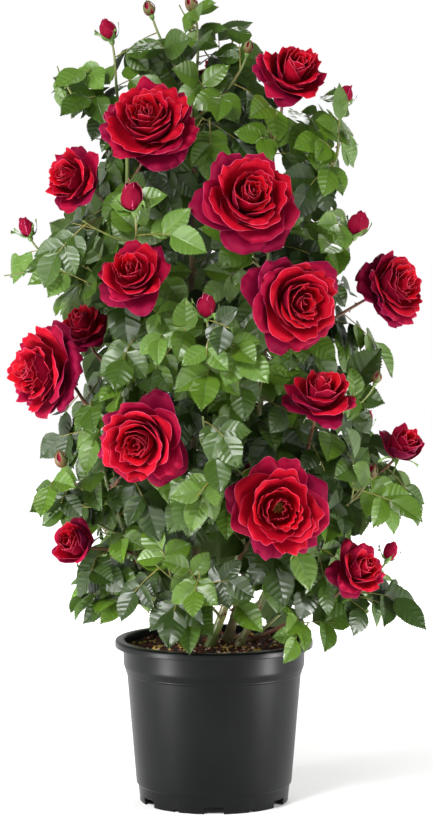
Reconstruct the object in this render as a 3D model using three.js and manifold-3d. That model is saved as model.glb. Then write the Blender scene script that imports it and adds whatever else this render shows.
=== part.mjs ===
// A red garden rose that grows upright in a ten-litre nursery pot.
// Millimetres, +Z up. The origin is the middle of the pot's flat underside, and the front of the
// plant faces -Y. Run it as an ES module: its default export is a THREE.Group of named meshes.

import * as THREE from "three";
import { mergeVertices } from "three/addons/utils/BufferGeometryUtils.js";
import Module from "manifold-3d";

const wasm = await Module();
wasm.setup();

// ---------------------------------------------------------------- driving dimensions

const CLEARANCE = 0.3; // gap left between solids that touch on the real plant

const POT = {
  facets: 24,
  height: 230,
  rimRadius: 140,
  lipDrop: 10, // the skirt that hangs from the edge of the rim
  skin: 2.2, // moulded wall
  collarRadius: 129, // the wide band under the rim
  collarFoot: 194,
  bodyTopRadius: 123.5,
  bodyTop: 183,
  bodyFootRadius: 110,
  bodyFoot: 26,
  footRadius: 105,
  floorHeight: 14, // the floor stands this high, except for its middle
  footPadRadius: 44, // the middle of the floor rests on the ground
};
const DRAIN_GATES = { count: 6, width: 27, height: 10 };
const DRAIN_NICKS = { count: 6, width: 8, height: 4 };

const SOIL_TOP = 219;

// A cane stands at foot on the soil, swings sideways by swing at the height knee above it,
// and ends at tip.
const CANES = [
  { name: "cane_front", foot: [-8, -8], swing: [75, -40], knee: 150, tip: [78, -70, 960], radius: 6.2 },
  { name: "cane_left_low", foot: [-38, 28], swing: [-70, -75], knee: 110, tip: [-170, -75, 600], radius: 4.4 },
  { name: "cane_rear_right", foot: [18, 42], swing: [60, 20], knee: 170, tip: [95, 70, 900], radius: 6.6 },
  { name: "cane_right_low", foot: [46, 24], swing: [60, -25], knee: 35, tip: [182, -88, 330], radius: 3.4 },
  { name: "cane_middle", foot: [-16, 12], swing: [-20, -10], knee: 200, tip: [-30, -25, 1040], radius: 7 },
  { name: "cane_left", foot: [-36, -4], swing: [-90, -60], knee: 170, tip: [-120, -40, 990], radius: 5.6 },
  { name: "cane_right", foot: [34, 2], swing: [110, -10], knee: 180, tip: [160, -45, 920], radius: 5.4 },
  { name: "cane_rear_left", foot: [-28, 56], swing: [-55, 45], knee: 220, tip: [-75, 110, 930], radius: 6 },
];
const CANE_TIP_RADIUS = 2.3;
const CANE_FLARE = 0.3; // how much wider a cane is where it leaves the soil

// A bloom's middle, its width across the petals, and the way that it faces.
const ROSES = [
  { name: "rose_upper_left", at: [-88, -150, 954], width: 139, faces: [-0.1, -0.85, 0.5] },
  { name: "rose_upper_middle", at: [48, -190, 852], width: 142, faces: [0.15, -0.9, 0.35] },
  { name: "rose_right_middle", at: [112, -190, 713], width: 141, faces: [0.35, -0.93, 0] },
  { name: "rose_left_middle", at: [-97, -205, 527], width: 136, faces: [-0.3, -0.93, -0.1] },
  { name: "rose_lower_right", at: [88, -205, 438], width: 144, faces: [0.1, -0.99, 0.05] },
  { name: "rose_far_left", at: [-238, -60, 611], width: 136, faces: [-0.78, -0.6, 0.05] },
  { name: "rose_behind_far_left", at: [-185, 45, 668], width: 84, faces: [-0.4, 0.55, 0.6] },
  { name: "rose_left_upper", at: [-105, -190, 748], width: 104, faces: [-0.2, -0.85, 0.45] },
  { name: "rose_small_left", at: [-192, -60, 877], width: 86, faces: [-0.75, -0.55, 0.25] },
  { name: "rose_top_right", at: [106, -90, 1020], width: 106, faces: [0.45, -0.5, 0.72] },
  { name: "rose_far_right", at: [252, -30, 728], width: 114, faces: [0.95, -0.3, 0.1] },
  { name: "rose_right_lower", at: [144, -175, 588], width: 98, faces: [0.15, -0.62, 0.75] },
  { name: "rose_half_open_right", at: [260, -60, 504], width: 62, faces: [0.4, -0.35, 0.82] },
  { name: "rose_low_right", at: [198, -120, 343], width: 86, faces: [0.5, -0.75, 0.35] },
  { name: "rose_half_open_left", at: [-186, -90, 375], width: 64, faces: [-0.75, -0.6, 0.2] },
  { name: "rose_top_rear", at: [20, 115, 1030], width: 80, faces: [0.1, 0.75, 0.65] },
  { name: "rose_rear_upper", at: [-75, 195, 850], width: 128, faces: [-0.25, 0.9, 0.3] },
  { name: "rose_rear_right", at: [110, 180, 690], width: 124, faces: [0.4, 0.9, 0.1] },
  { name: "rose_rear_left", at: [-120, 185, 545], width: 112, faces: [-0.45, 0.85, 0.2] },
  { name: "rose_rear_low", at: [45, 200, 420], width: 132, faces: [0.1, 0.98, 0.1] },
];
const LARGE_BLOOM = 95; // blooms at least this wide have a third whorl of petals

// A leafy shoot ends at tip. bud is the length of the bud that it carries there, if any.
const SHOOTS = [
  { name: "shoot_top_left", tip: [-143, -20, 1072], bud: 34 },
  { name: "shoot_top_middle_left", tip: [-88, 18, 1108], bud: 30 },
  { name: "shoot_top_middle", tip: [-28, 0, 1112], bud: 32 },
  { name: "shoot_top_right", tip: [46, -60, 1052], bud: 26 },
  { name: "shoot_top_rear", tip: [30, 45, 1090], bud: 0 },
  { name: "shoot_upper_left", tip: [-205, -10, 1010], bud: 0 },
  { name: "shoot_upper_right", tip: [177, -60, 981], bud: 32 },
  { name: "shoot_right_bud", tip: [194, -80, 803], bud: 38 },
  { name: "shoot_left_bud", tip: [-256, -40, 800], bud: 32 },
  { name: "shoot_front_upper", tip: [-106, -200, 838], bud: 42 },
  { name: "shoot_front_middle", tip: [-10, -205, 696], bud: 36 },
  { name: "shoot_left", tip: [-207, -110, 486], bud: 34 },
  { name: "shoot_right_lower", tip: [214, -100, 470], bud: 28 },
  { name: "shoot_right_low", tip: [242, -50, 350], bud: 30 },
  { name: "shoot_right", tip: [222, -90, 600], bud: 24 },
  { name: "shoot_left_lower", tip: [-190, -40, 425], bud: 0 },
  { name: "shoot_left_low", tip: [-165, -60, 300], bud: 0 },
  { name: "shoot_front_low", tip: [-20, -175, 350], bud: 0 },
  { name: "shoot_front", tip: [-15, -190, 560], bud: 0 },
  { name: "shoot_right_foot", tip: [130, -100, 268], bud: 0 },
  { name: "shoot_middle_upper", tip: [75, -115, 800], bud: 0 },
  { name: "shoot_middle_left", tip: [-62, -130, 650], bud: 0 },
  { name: "shoot_middle_right", tip: [64, -135, 600], bud: 0 },
  { name: "shoot_rear_top", tip: [-85, 125, 975], bud: 30 },
  { name: "shoot_rear_upper_right", tip: [120, 170, 880], bud: 34 },
  { name: "shoot_rear_middle", tip: [-10, 205, 660], bud: 30 },
  { name: "shoot_rear_far_left", tip: [-200, 120, 760], bud: 0 },
  { name: "shoot_rear_far_right", tip: [215, 110, 520], bud: 32 },
  { name: "shoot_rear_low", tip: [-80, 190, 360], bud: 0 },
  { name: "shoot_rear_right_low", tip: [140, 130, 310], bud: 0 },
];

const LEAF = { length: 92, width: 66, waist: 0.45, thickness: 2 };
const LEAF_SPACING = 22; // along a shoot
const LEAF_GAP = 6; // between the leaves of one shoot
const TWIG_EVERY = 5; // nodes of a shoot
const TRIES = 8; // turns that a leaf is tried at before it is skipped
const GOLDEN_ANGLE = 137.5;
const CROWN = { halfWidth: 303, halfDepth: 262, top: 1128, hem: 206, overPot: 238 };
const SEED = 4718;

// ---------------------------------------------------------------- small helpers

const radians = THREE.MathUtils.degToRad;
const point = (x, y, z) => new THREE.Vector3(x, y, z);
const UP = point(0, 0, 1);

// A repeatable stream of random numbers, so that every build grows the same bush.
function randomStream(seed) {
  let state = seed;
  return (low, high) => {
    state = (state * 16807) % 2147483647;
    return low + ((high - low) * state) / 2147483647;
  };
}

// The horizontal direction from the plant's middle out to a place.
function outwardAt(place) {
  const flat = point(place.x, place.y, 0);
  return flat.lengthSq() < 1 ? point(0, -1, 0) : flat.normalize();
}

// A direction squared to another one.
function squared(vector, to) {
  return vector.clone().addScaledVector(to, -vector.dot(to)).normalize();
}

function solidOf(geometry) {
  const bare = geometry.clone();
  bare.deleteAttribute("normal");
  bare.deleteAttribute("uv");
  const merged = mergeVertices(bare, 1e-4);
  return new wasm.Manifold(
    new wasm.Mesh({
      numProp: 3,
      vertProperties: merged.attributes.position.array,
      triVerts: new Uint32Array(merged.index.array),
    }),
  );
}

const joined = (solids) => solids.reduce((whole, next) => whole.add(next));

function geometryOf(solid) {
  const mesh = solid.getMesh();
  const geometry = new THREE.BufferGeometry();
  geometry.setAttribute("position", new THREE.BufferAttribute(mesh.vertProperties, 3));
  geometry.setIndex(new THREE.BufferAttribute(mesh.triVerts, 1));
  geometry.computeVertexNormals();
  return geometry;
}

// Moves every vertex of a geometry to where the function puts it.
function reshape(geometry, place) {
  const position = geometry.attributes.position;
  const vertex = point(0, 0, 0);
  for (let i = 0; i < position.count; i++) {
    vertex.fromBufferAttribute(position, i);
    position.setXYZ(i, ...place(vertex.clone()).toArray());
  }
  return geometry;
}

// A lathed solid that stands on +Z, from points of [radius, height].
function turned(profile, facets) {
  const outline = profile.map(([radius, height]) => new THREE.Vector2(radius, height));
  return new THREE.LatheGeometry(outline, facets).rotateX(Math.PI / 2);
}

// A tapering limb: a cylinder bent along a curve. Its ends are square to the curve, or level
// with the ground where levelFoot is set.
function limb(curve, radiusAt, facets, steps, levelFoot = false) {
  const frames = curve.computeFrenetFrames(steps, false);
  const rod = new THREE.CylinderGeometry(1, 1, 1, facets, steps);
  return reshape(rod, (vertex) => {
    const t = vertex.y + 0.5;
    const step = Math.round(t * steps);
    const centre = curve.getPointAt(t);
    const radius = radiusAt(t);
    const place = centre
      .clone()
      .addScaledVector(frames.binormals[step], vertex.x * radius)
      .addScaledVector(frames.normals[step], vertex.z * radius);
    if (levelFoot && step === 0) {
      const tangent = frames.tangents[0];
      place.addScaledVector(tangent, (centre.z - place.z) / tangent.z);
    }
    return place;
  });
}

// ---------------------------------------------------------------- plan of the plant

function planCane(cane) {
  const ground = SOIL_TOP + CLEARANCE;
  const foot = point(...cane.foot, ground);
  const tip = point(...cane.tip);
  const knee = point(cane.foot[0] + cane.swing[0], cane.foot[1] + cane.swing[1], ground + cane.knee);
  const shoulder = point(tip.x, tip.y, tip.z - (tip.z - ground) / 3);
  const curve = new THREE.CubicBezierCurve3(foot, knee, shoulder, tip);
  const radiusAt = (t) => {
    const taper = cane.radius + (CANE_TIP_RADIUS - cane.radius) * t;
    return taper * (1 + CANE_FLARE * Math.exp((-t * curve.getLength()) / 14));
  };
  return { ...cane, curve, radiusAt, used: 0 };
}

// A curve as the round-ended rods that it fills, for measuring how close things come.
function rodsOf(curve, radiusAt, count) {
  const places = curve.getSpacedPoints(count);
  return places.slice(1).map((end, i) => ({ start: places[i], end, radius: radiusAt((i + 0.5) / count) }));
}

function distanceToRod(place, rod) {
  const along = rod.end.clone().sub(rod.start);
  const reach = place.clone().sub(rod.start);
  const share = along.lengthSq() > 0 ? THREE.MathUtils.clamp(reach.dot(along) / along.lengthSq(), 0, 1) : 0;
  return reach.addScaledVector(along, -share).length() - rod.radius;
}

const clearOf = (places, rods, margin) =>
  rods.every((rod) => places.every((place) => distanceToRod(place, rod) > margin));

// A shoot or a flower stalk: it leaves a cane sideways and arrives at its tip along heading.
function stemCurve(from, tip, heading) {
  const span = tip.distanceTo(from);
  const leave = tip.clone().sub(from).setZ(0).normalize().multiplyScalar(0.75).add(UP.clone().multiplyScalar(0.45));
  return new THREE.CubicBezierCurve3(
    from,
    from.clone().addScaledVector(leave, 0.34 * span),
    tip.clone().addScaledVector(heading, -0.3 * span),
    tip,
  );
}

// Finds the cane that a stem grows from: the best place that is lower than the tip, is not
// taken, and from which the stem runs clear of everything else.
function planStem(name, tip, heading, thickness, canes, taken, rods) {
  const choices = [];
  for (const cane of canes) {
    for (let t = 0.06; t <= 0.97; t += 0.03) {
      const from = cane.curve.getPointAt(t);
      const across = Math.hypot(tip.x - from.x, tip.y - from.y);
      const rise = tip.z - from.z;
      const wanted = 0.5 * across + 20;
      choices.push({ cane, t, from, cost: across + 0.7 * Math.abs(rise - wanted) + (rise < 12 ? 400 : 0) });
    }
  }
  choices.sort((a, b) => a.cost - b.cost);
  for (const { cane, t, from } of choices) {
    if (taken.some((other) => other.distanceTo(from) < 17)) continue;
    const curve = stemCurve(from, tip, heading);
    const places = curve.getSpacedPoints(24);
    const others = rods.filter((rod) => rod.owner !== cane.name && rod.owner !== name);
    const beyond = places.filter((place) => place.distanceTo(from) > 20);
    const own = rods.filter((rod) => rod.owner === cane.name);
    if (!clearOf(places, others, thickness + 4) || !clearOf(beyond, own, thickness + 2)) continue;
    taken.push(from);
    cane.used = Math.max(cane.used, t);
    return { name, cane, curve, tip, thickness };
  }
  throw new Error(`no cane carries ${name}`);
}

const withOwner = (rods, owner) => rods.map((rod) => ({ ...rod, owner }));

// A leaf is a flat kite: it starts at a point inside its stem, is widest at the waist and ends
// at its tip.
function planLeaf(base, ahead, facing, size) {
  const normal = squared(facing, ahead);
  const across = new THREE.Vector3().crossVectors(normal, ahead);
  return { base, ahead, normal, across, length: LEAF.length * size, half: 0.5 * LEAF.width * size };
}

// The places on a leaf that are tested against the space around it.
function leafPlaces({ base, ahead, across, length, half }) {
  const places = [];
  for (const share of [0.16, 0.3, LEAF.waist, 0.6, 0.8, 1]) {
    const width = half * Math.min(share / LEAF.waist, (1 - share) / (1 - LEAF.waist));
    for (const hand of share < 1 ? [-1, -0.5, 0, 0.5, 1] : [0]) {
      places.push(base.clone().addScaledVector(ahead, share * length).addScaledVector(across, hand * width));
    }
  }
  return places;
}

// Whether a leaf keeps off another leaf of its mass.
const apart = (places, leaf) =>
  leaf.places.every((other) => places.every((place) => place.distanceTo(other) > LEAF_GAP));

const insideCrown = (place) =>
  Math.abs(place.x) < CROWN.halfWidth &&
  Math.abs(place.y) < CROWN.halfDepth &&
  place.z < CROWN.top &&
  place.z > (Math.hypot(place.x, place.y) < POT.rimRadius + 12 ? CROWN.overPot : CROWN.hem);

function nearestHeart(place, hearts) {
  let best = 0;
  for (let i = 1; i < hearts.length; i++) {
    if (place.distanceToSquared(hearts[i]) < place.distanceToSquared(hearts[best])) best = i;
  }
  return best;
}

// Grows leaves, and side twigs with leaves of their own, from a stem. A leaf that leaves the
// mass's own space or comes too near to a limb is tried at other turns and then skipped.
function growLeaves(stem, order, fits, random, grown) {
  const length = stem.curve.getLength();
  const count = Math.max(3, Math.round(length / LEAF_SPACING));
  for (let node = 1; node <= count; node++) {
    const t = Math.min((node - 0.3) / count, 0.97);
    const origin = stem.curve.getPointAt(t);
    const tangent = stem.curve.getTangentAt(t);
    const outward = outwardAt(origin);
    const aside = squared(point(0.3, -0.2, 1), tangent);
    const start = node * GOLDEN_ANGLE + random(-20, 20);
    const size = random(0.85, 1.15) * (1 - 0.2 * t);
    const tilt = point(random(-0.3, 0.3), random(-0.3, 0.3), random(-0.2, 0.2));
    const facing = UP.clone().multiplyScalar(0.6).addScaledVector(outward, 0.85).add(tilt);
    for (let attempt = 0; attempt < TRIES; attempt++) {
      const around = aside.clone().applyAxisAngle(tangent, radians(start + attempt * 73));
      const heading = tangent.clone().multiplyScalar(0.45).addScaledVector(around, 0.85);
      heading.addScaledVector(outward, 0.3).normalize();
      if (order === 0 && node % TWIG_EVERY === 1) {
        const middle = origin.clone().addScaledVector(heading, 0.24 * length).addScaledVector(UP, -5);
        const end = origin.clone().addScaledVector(heading, 0.46 * length).addScaledVector(UP, 8);
        const curve = new THREE.QuadraticBezierCurve3(origin, middle, end);
        if (!fits(curve.getSpacedPoints(10).slice(1), 3)) continue;
        const twig = { curve, thickness: 1.6 };
        grown.twigs.push(twig);
        growLeaves(twig, 1, fits, random, grown);
        break;
      }
      const leaf = planLeaf(origin, heading.addScaledVector(UP, -0.2).normalize(), facing, size);
      leaf.places = leafPlaces(leaf);
      if (!fits(leaf.places, 5) || !grown.leaves.every((other) => apart(leaf.places, other))) continue;
      grown.leaves.push(leaf);
      break;
    }
  }
}

// ---------------------------------------------------------------- solids: pot and soil

function potSolid() {
  const { height, skin, footRadius, floorHeight, footPadRadius } = POT;
  const rimInner = POT.collarRadius - skin;
  const profile = [
    [0, 0],
    [footPadRadius, 0],
    [footPadRadius + 9, floorHeight],
    [footRadius - 6, floorHeight],
    [footRadius - 2.5, 0],
    [footRadius, 0],
    [footRadius + 2.5, POT.bodyFoot - 2],
    [POT.bodyFootRadius, POT.bodyFoot],
    [POT.bodyTopRadius, POT.bodyTop],
    [POT.collarRadius - 1, POT.collarFoot],
    [POT.collarRadius, height - skin],
    [POT.rimRadius - skin, height - skin],
    [POT.rimRadius - skin, height - POT.lipDrop],
    [POT.rimRadius, height - POT.lipDrop],
    [POT.rimRadius, height],
    [rimInner, height],
    [rimInner - 1, POT.collarFoot],
    [POT.bodyTopRadius - skin, POT.bodyTop],
    [POT.bodyFootRadius - skin, POT.bodyFoot],
    [footRadius + 0.5, floorHeight + skin],
    [footPadRadius + 7, floorHeight + skin],
    [footPadRadius - 2, skin],
    [0, skin],
  ];
  let pot = solidOf(turned(profile, POT.facets));
  const openings = [
    { gates: DRAIN_GATES, first: -90 },
    { gates: DRAIN_NICKS, first: -60 },
  ];
  for (const { gates, first } of openings) {
    for (let i = 0; i < gates.count; i++) {
      const bearing = first + (360 / gates.count) * i;
      const cutter = new THREE.BoxGeometry(16, gates.width, gates.height + 2);
      cutter.translate(footRadius, 0, gates.height / 2 - 1);
      cutter.rotateZ(radians(bearing));
      pot = pot.subtract(solidOf(cutter));
    }
  }
  return pot;
}

function soilSolid() {
  const wall = POT.skin + CLEARANCE;
  const floor = POT.skin + CLEARANCE;
  const collarSlope = (SOIL_TOP - POT.collarFoot) / (POT.height - POT.skin - POT.collarFoot);
  const profile = [
    [0, POT.floorHeight + floor],
    [POT.footRadius, POT.floorHeight + floor],
    [POT.bodyFootRadius - wall, POT.bodyFoot],
    [POT.bodyTopRadius - wall, POT.bodyTop],
    [POT.collarRadius - 1 - wall, POT.collarFoot],
    [POT.collarRadius - 1 - wall + collarSlope, SOIL_TOP],
    [0, SOIL_TOP],
  ];
  return solidOf(turned(profile, POT.facets));
}

// ---------------------------------------------------------------- solids: the rose

// A cane is pruned a little above the last stem that it carries.
function caneSolid({ curve, radiusAt, used }, extra) {
  const cut = Math.min(used + 0.02, 1);
  const kept = new THREE.CatmullRomCurve3(Array.from({ length: 13 }, (_, i) => curve.getPointAt((cut * i) / 12)));
  return solidOf(limb(kept, (t) => radiusAt(t * cut) + extra, 6, 9, true));
}

const stemSolid = (stem, facets, steps) =>
  solidOf(limb(stem.curve, (t) => stem.thickness * (1.25 - 0.4 * t), facets, steps));

// A bloom's profile from its hip up to its heart, in shares of the bloom's radius. Each lip is
// scalloped into five petals, and turned by half a petal from the whorl outside it.
const BLOOM_PROFILE = [
  { radius: 0, height: -0.2 },
  { radius: 0.13, height: -0.04 },
  { radius: 1, height: 0.34, turn: 0, lip: true },
  { radius: 0.76, height: 0.36, turn: 0 },
  { radius: 0.78, height: 0.66, turn: 36, lip: true },
  { radius: 0.52, height: 0.56, turn: 36 },
  { radius: 0.46, height: 0.88, turn: 0, lip: true },
  { radius: 0.2, height: 0.7, turn: 0 },
  { radius: 0, height: 0.92 },
];
const SMALL_BLOOM_PROFILE = BLOOM_PROFILE.filter((ring, i) => i !== 4 && i !== 5);

// A bloom that faces +Z, with its hip under the origin.
function bloomGeometry(width) {
  const rings = width < LARGE_BLOOM ? SMALL_BLOOM_PROFILE : BLOOM_PROFILE;
  const radius = width / 2;
  const last = rings.length - 1;
  const tube = new THREE.CylinderGeometry(1, 1, 1, 10, last, true);
  return reshape(tube, (vertex) => {
    const ring = rings[Math.round((vertex.y + 0.5) * last)];
    const spoke = Math.round(Math.atan2(vertex.x, vertex.z) / radians(36));
    const between = ring.turn !== undefined && (spoke + ring.turn / 36) % 2 !== 0;
    const spread = ring.radius * radius * (between ? 0.8 : 1);
    const height = ring.height * radius * (between && ring.lip ? 0.85 : 1);
    return point(vertex.x * spread, -vertex.z * spread, height);
  });
}

// Turns a geometry that faces +Z to face another way, and sets it on a place.
function aimed(geometry, place, faces) {
  const turn = new THREE.Quaternion().setFromUnitVectors(UP, faces.clone().normalize());
  return geometry.applyMatrix4(new THREE.Matrix4().compose(place, turn, point(1, 1, 1)));
}

function roseSolid(rose) {
  const bloom = aimed(bloomGeometry(rose.width), rose.stem.tip, rose.faces);
  return solidOf(bloom).add(stemSolid(rose.stem, 3, 5));
}

function budSolid(tip, heading, length) {
  const bud = new THREE.SphereGeometry(1, 5, 3).rotateX(Math.PI / 2);
  reshape(bud, (vertex) => {
    const waist = vertex.z > 0 ? 0.8 : 1;
    return point(vertex.x * 0.36 * length * waist, vertex.y * 0.36 * length * waist, (vertex.z * 0.5 + 0.42) * length);
  });
  return solidOf(aimed(bud, tip, heading));
}

function leafSolid({ base, ahead, across, normal, length, half }) {
  const kite = new THREE.SphereGeometry(1, 4, 2);
  const middle = base.clone().addScaledVector(ahead, LEAF.waist * length);
  return solidOf(
    reshape(kite, (vertex) => {
      if (vertex.y < -0.5) return base.clone();
      if (vertex.y > 0.5) return base.clone().addScaledVector(ahead, length);
      const side = middle.clone().addScaledVector(across, vertex.x * half);
      return side.addScaledVector(normal, -vertex.z * 0.5 * LEAF.thickness);
    }),
  );
}

// ---------------------------------------------------------------- the plant

const canes = CANES.map(planCane);

const rods = canes.flatMap((cane) => withOwner(rodsOf(cane.curve, cane.radiusAt, 24), cane.name));
const taken = [];

// A bloom keeps a ball of space, and a shorter one in front of it.
const roses = ROSES.map((rose) => {
  const faces = point(...rose.faces).normalize();
  const at = point(...rose.at);
  const tip = at.clone().addScaledVector(faces, -0.2 * rose.width);
  return { ...rose, faces, at, tip };
});
for (const rose of roses) {
  const ball = { start: rose.at, end: rose.at, radius: 0.47 * rose.width };
  rods.push(...withOwner([ball], rose.name));
}
for (const rose of roses) {
  rose.stem = planStem(rose.name, rose.tip, rose.faces, 2.2, canes, taken, rods);
  rods.push(...withOwner(rodsOf(rose.stem.curve, () => 2.5, 12), rose.name));
}

const shoots = SHOOTS.map((shoot) => {
  const tip = point(...shoot.tip);
  const heading = outwardAt(tip).multiplyScalar(0.35).add(UP).normalize();
  const stem = planStem(shoot.name, tip, heading, 2, canes, taken, rods);
  rods.push(...withOwner(rodsOf(stem.curve, () => 2.3, 12), shoot.name));
  if (shoot.bud) {
    const middle = tip.clone().addScaledVector(heading, 0.42 * shoot.bud);
    rods.push(...withOwner([{ start: middle, end: middle, radius: 0.5 * shoot.bud }], shoot.name));
  }
  return { ...shoot, heading, stem };
});
const hearts = shoots.map(({ stem }) => stem.curve.getPointAt(0.62));

const random = randomStream(SEED);
shoots.forEach((shoot, index) => {
  const others = rods.filter((rod) => rod.owner !== shoot.name);
  const fits = (places, margin) =>
    places.every((place) => insideCrown(place) && nearestHeart(place, hearts) === index) &&
    clearOf(places, others, margin);
  shoot.grown = { leaves: [], twigs: [] };
  growLeaves(shoot.stem, 0, fits, random, shoot.grown);
});

const caneSolids = new Map(canes.map((cane) => [cane.name, caneSolid(cane, 0)]));
const caneRooms = new Map(canes.map((cane) => [cane.name, caneSolid(cane, CLEARANCE)]));
const largest = (solid) => solid.decompose().reduce((best, body) => (body.volume() > best.volume() ? body : best));

const materials = {
  pot: new THREE.MeshStandardMaterial({ color: "#2b2c2e", roughness: 0.55, metalness: 0 }),
  soil: new THREE.MeshStandardMaterial({ color: "#3a2015", roughness: 0.95, metalness: 0 }),
  cane: new THREE.MeshStandardMaterial({ color: "#5a5a2a", roughness: 0.7, metalness: 0 }),
  bloom: new THREE.MeshStandardMaterial({ color: "#b00d2b", roughness: 0.6, metalness: 0 }),
  leaf: new THREE.MeshStandardMaterial({ color: "#3f6b2c", roughness: 0.45, metalness: 0 }),
};

const bush = new THREE.Group();
function place(name, solid, material) {
  const mesh = new THREE.Mesh(geometryOf(solid), material);
  mesh.name = name;
  bush.add(mesh);
}

place("pot", potSolid(), materials.pot);
place("soil", soilSolid(), materials.soil);
for (const cane of canes) place(cane.name, caneSolids.get(cane.name), materials.cane);
for (const rose of roses) {
  const solid = roseSolid(rose).subtract(caneRooms.get(rose.stem.cane.name));
  place(rose.name, largest(solid).simplify(0.05), materials.bloom);
}
for (const shoot of shoots) {
  const parts = [stemSolid(shoot.stem, 3, 5)];
  if (shoot.bud) parts.push(budSolid(shoot.stem.tip, shoot.heading, shoot.bud));
  for (const twig of shoot.grown.twigs) parts.push(stemSolid(twig, 3, 3));
  for (const leaf of shoot.grown.leaves) parts.push(leafSolid(leaf));
  const solid = joined(parts).subtract(caneRooms.get(shoot.stem.cane.name));
  place(shoot.name, largest(solid).simplify(0.05), materials.leaf);
}

export default bush;
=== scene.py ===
# %% [markdown]
# # A red garden rose in its nursery pot
#
# The plant is eight canes in a ten-litre pot, with flower stalks, leafy shoots, buds and blooms.
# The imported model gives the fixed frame: where the pot stands, where the canes run, and how far
# the crown reaches. This file dresses it: every plain solid is replaced by a finer piece that
# keeps to the same place and the same rule of growth. The tables below are in millimetres, and
# each mesh is scaled to metres when it is made.

# %% Load the frame
import math

import bmesh
import bpy
import numpy as np
from mathutils import Matrix, Vector, noise


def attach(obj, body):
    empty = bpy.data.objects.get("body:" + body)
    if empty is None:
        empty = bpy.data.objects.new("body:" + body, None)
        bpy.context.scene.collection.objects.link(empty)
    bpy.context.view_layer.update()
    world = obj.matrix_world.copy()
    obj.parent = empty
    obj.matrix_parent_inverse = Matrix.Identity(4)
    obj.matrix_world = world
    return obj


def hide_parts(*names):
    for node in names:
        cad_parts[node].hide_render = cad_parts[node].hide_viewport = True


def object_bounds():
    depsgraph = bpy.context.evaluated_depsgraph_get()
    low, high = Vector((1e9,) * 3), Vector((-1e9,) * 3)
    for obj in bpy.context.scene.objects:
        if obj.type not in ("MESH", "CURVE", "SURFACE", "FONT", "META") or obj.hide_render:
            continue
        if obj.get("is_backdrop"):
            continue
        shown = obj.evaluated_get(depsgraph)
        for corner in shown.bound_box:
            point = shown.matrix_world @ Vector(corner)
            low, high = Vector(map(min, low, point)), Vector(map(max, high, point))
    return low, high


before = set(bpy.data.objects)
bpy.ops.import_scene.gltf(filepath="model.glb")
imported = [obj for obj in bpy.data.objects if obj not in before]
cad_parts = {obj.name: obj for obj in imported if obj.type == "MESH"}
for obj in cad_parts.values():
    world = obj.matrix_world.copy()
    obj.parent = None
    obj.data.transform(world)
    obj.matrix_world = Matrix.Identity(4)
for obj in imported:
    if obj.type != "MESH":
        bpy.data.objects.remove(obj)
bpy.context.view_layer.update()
MM = 0.001
scene = bpy.context.scene

# %% [markdown]
# ## Camera, floor and light
#
# A tall plant is best seen from a few metres away through a long lens, so that the pot does not
# bulge towards the viewer. The camera stands a little above the middle of the plant and looks
# slightly down. A surround that is white at eye level and darker overhead and below lights
# the leaves softly. A key panel from the upper left and one from behind give the petals their
# shape, and a tall strip on each side draws a soft light band down the pot.

# %% Camera
LENS_MM = 125.3
CAMERA_PLACE = (0.0035, -4.0, 0.862)
CAMERA_TARGET = (0.0035, 0.0, 0.555)
camera_data = bpy.data.cameras.new("portrait_lens")
camera_data.lens = LENS_MM
camera = bpy.data.objects.new("portrait_camera", camera_data)
camera.location = CAMERA_PLACE
aim = Vector(CAMERA_TARGET) - camera.location
camera.rotation_euler = aim.to_track_quat("-Z", "Y").to_euler()
scene.collection.objects.link(camera)
scene.camera = camera
scene.view_settings.view_transform = "Standard"
print("camera:", camera_data.lens, "mm lens")


# %% Colours, nodes and finishes
def linear(colour):
    """Turns an sRGB hex colour into the linear values that a shader takes."""
    parts = [int(colour[i : i + 2], 16) / 255 for i in (1, 3, 5)]
    return [p / 12.92 if p <= 0.04045 else ((p + 0.055) / 1.055) ** 2.4 for p in parts] + [1.0]


def add_node(tree, kind, settings=None, links=None):
    """Adds a node, sets its properties and sockets, and links other sockets into it."""
    node = tree.nodes.new(kind)
    for key, value in (settings or {}).items():
        if key in node.inputs:
            node.inputs[key].default_value = value
        else:
            setattr(node, key, value)
    for key, source in (links or {}).items():
        tree.links.new(source, node.inputs[key])
    return node


def finish(name, colour, roughness, **sockets):
    """A material with one principled shader, given its colour, roughness and other sockets."""
    material = bpy.data.materials.new(name)
    material.use_nodes = True
    tree = material.node_tree
    tree.nodes.clear()
    settings = {"Base Color": linear(colour), "Roughness": roughness}
    settings.update({key.replace("_", " "): value for key, value in sockets.items()})
    shader = add_node(tree, "ShaderNodeBsdfPrincipled", settings)
    add_node(tree, "ShaderNodeOutputMaterial", links={"Surface": shader.outputs["BSDF"]})
    return material, tree, shader


# %% Objects from meshes
def put_in_scene(name, mesh, materials):
    """Links a mesh as an object at the origin, with its materials."""
    for material in materials:
        mesh.materials.append(material)
    piece = bpy.data.objects.new(name, mesh)
    scene.collection.objects.link(piece)
    return piece


def mesh_from(name, bm):
    """Ends a bmesh that was made in millimetres as a mesh in metres."""
    bmesh.ops.scale(bm, verts=bm.verts, vec=(MM, MM, MM))
    mesh = bpy.data.meshes.new(name)
    bm.to_mesh(mesh)
    bm.free()
    return mesh


SMALL_CREASE = 60  # in degrees, for stems and small shapes


def shade(piece, angle):
    """Shades a piece smooth, and keeps edges sharper than angle (in degrees) crisp."""
    piece.data.polygons.foreach_set("use_smooth", [True] * len(piece.data.polygons))
    piece.data.set_sharp_from_angle(angle=math.radians(angle))
    return piece


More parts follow.
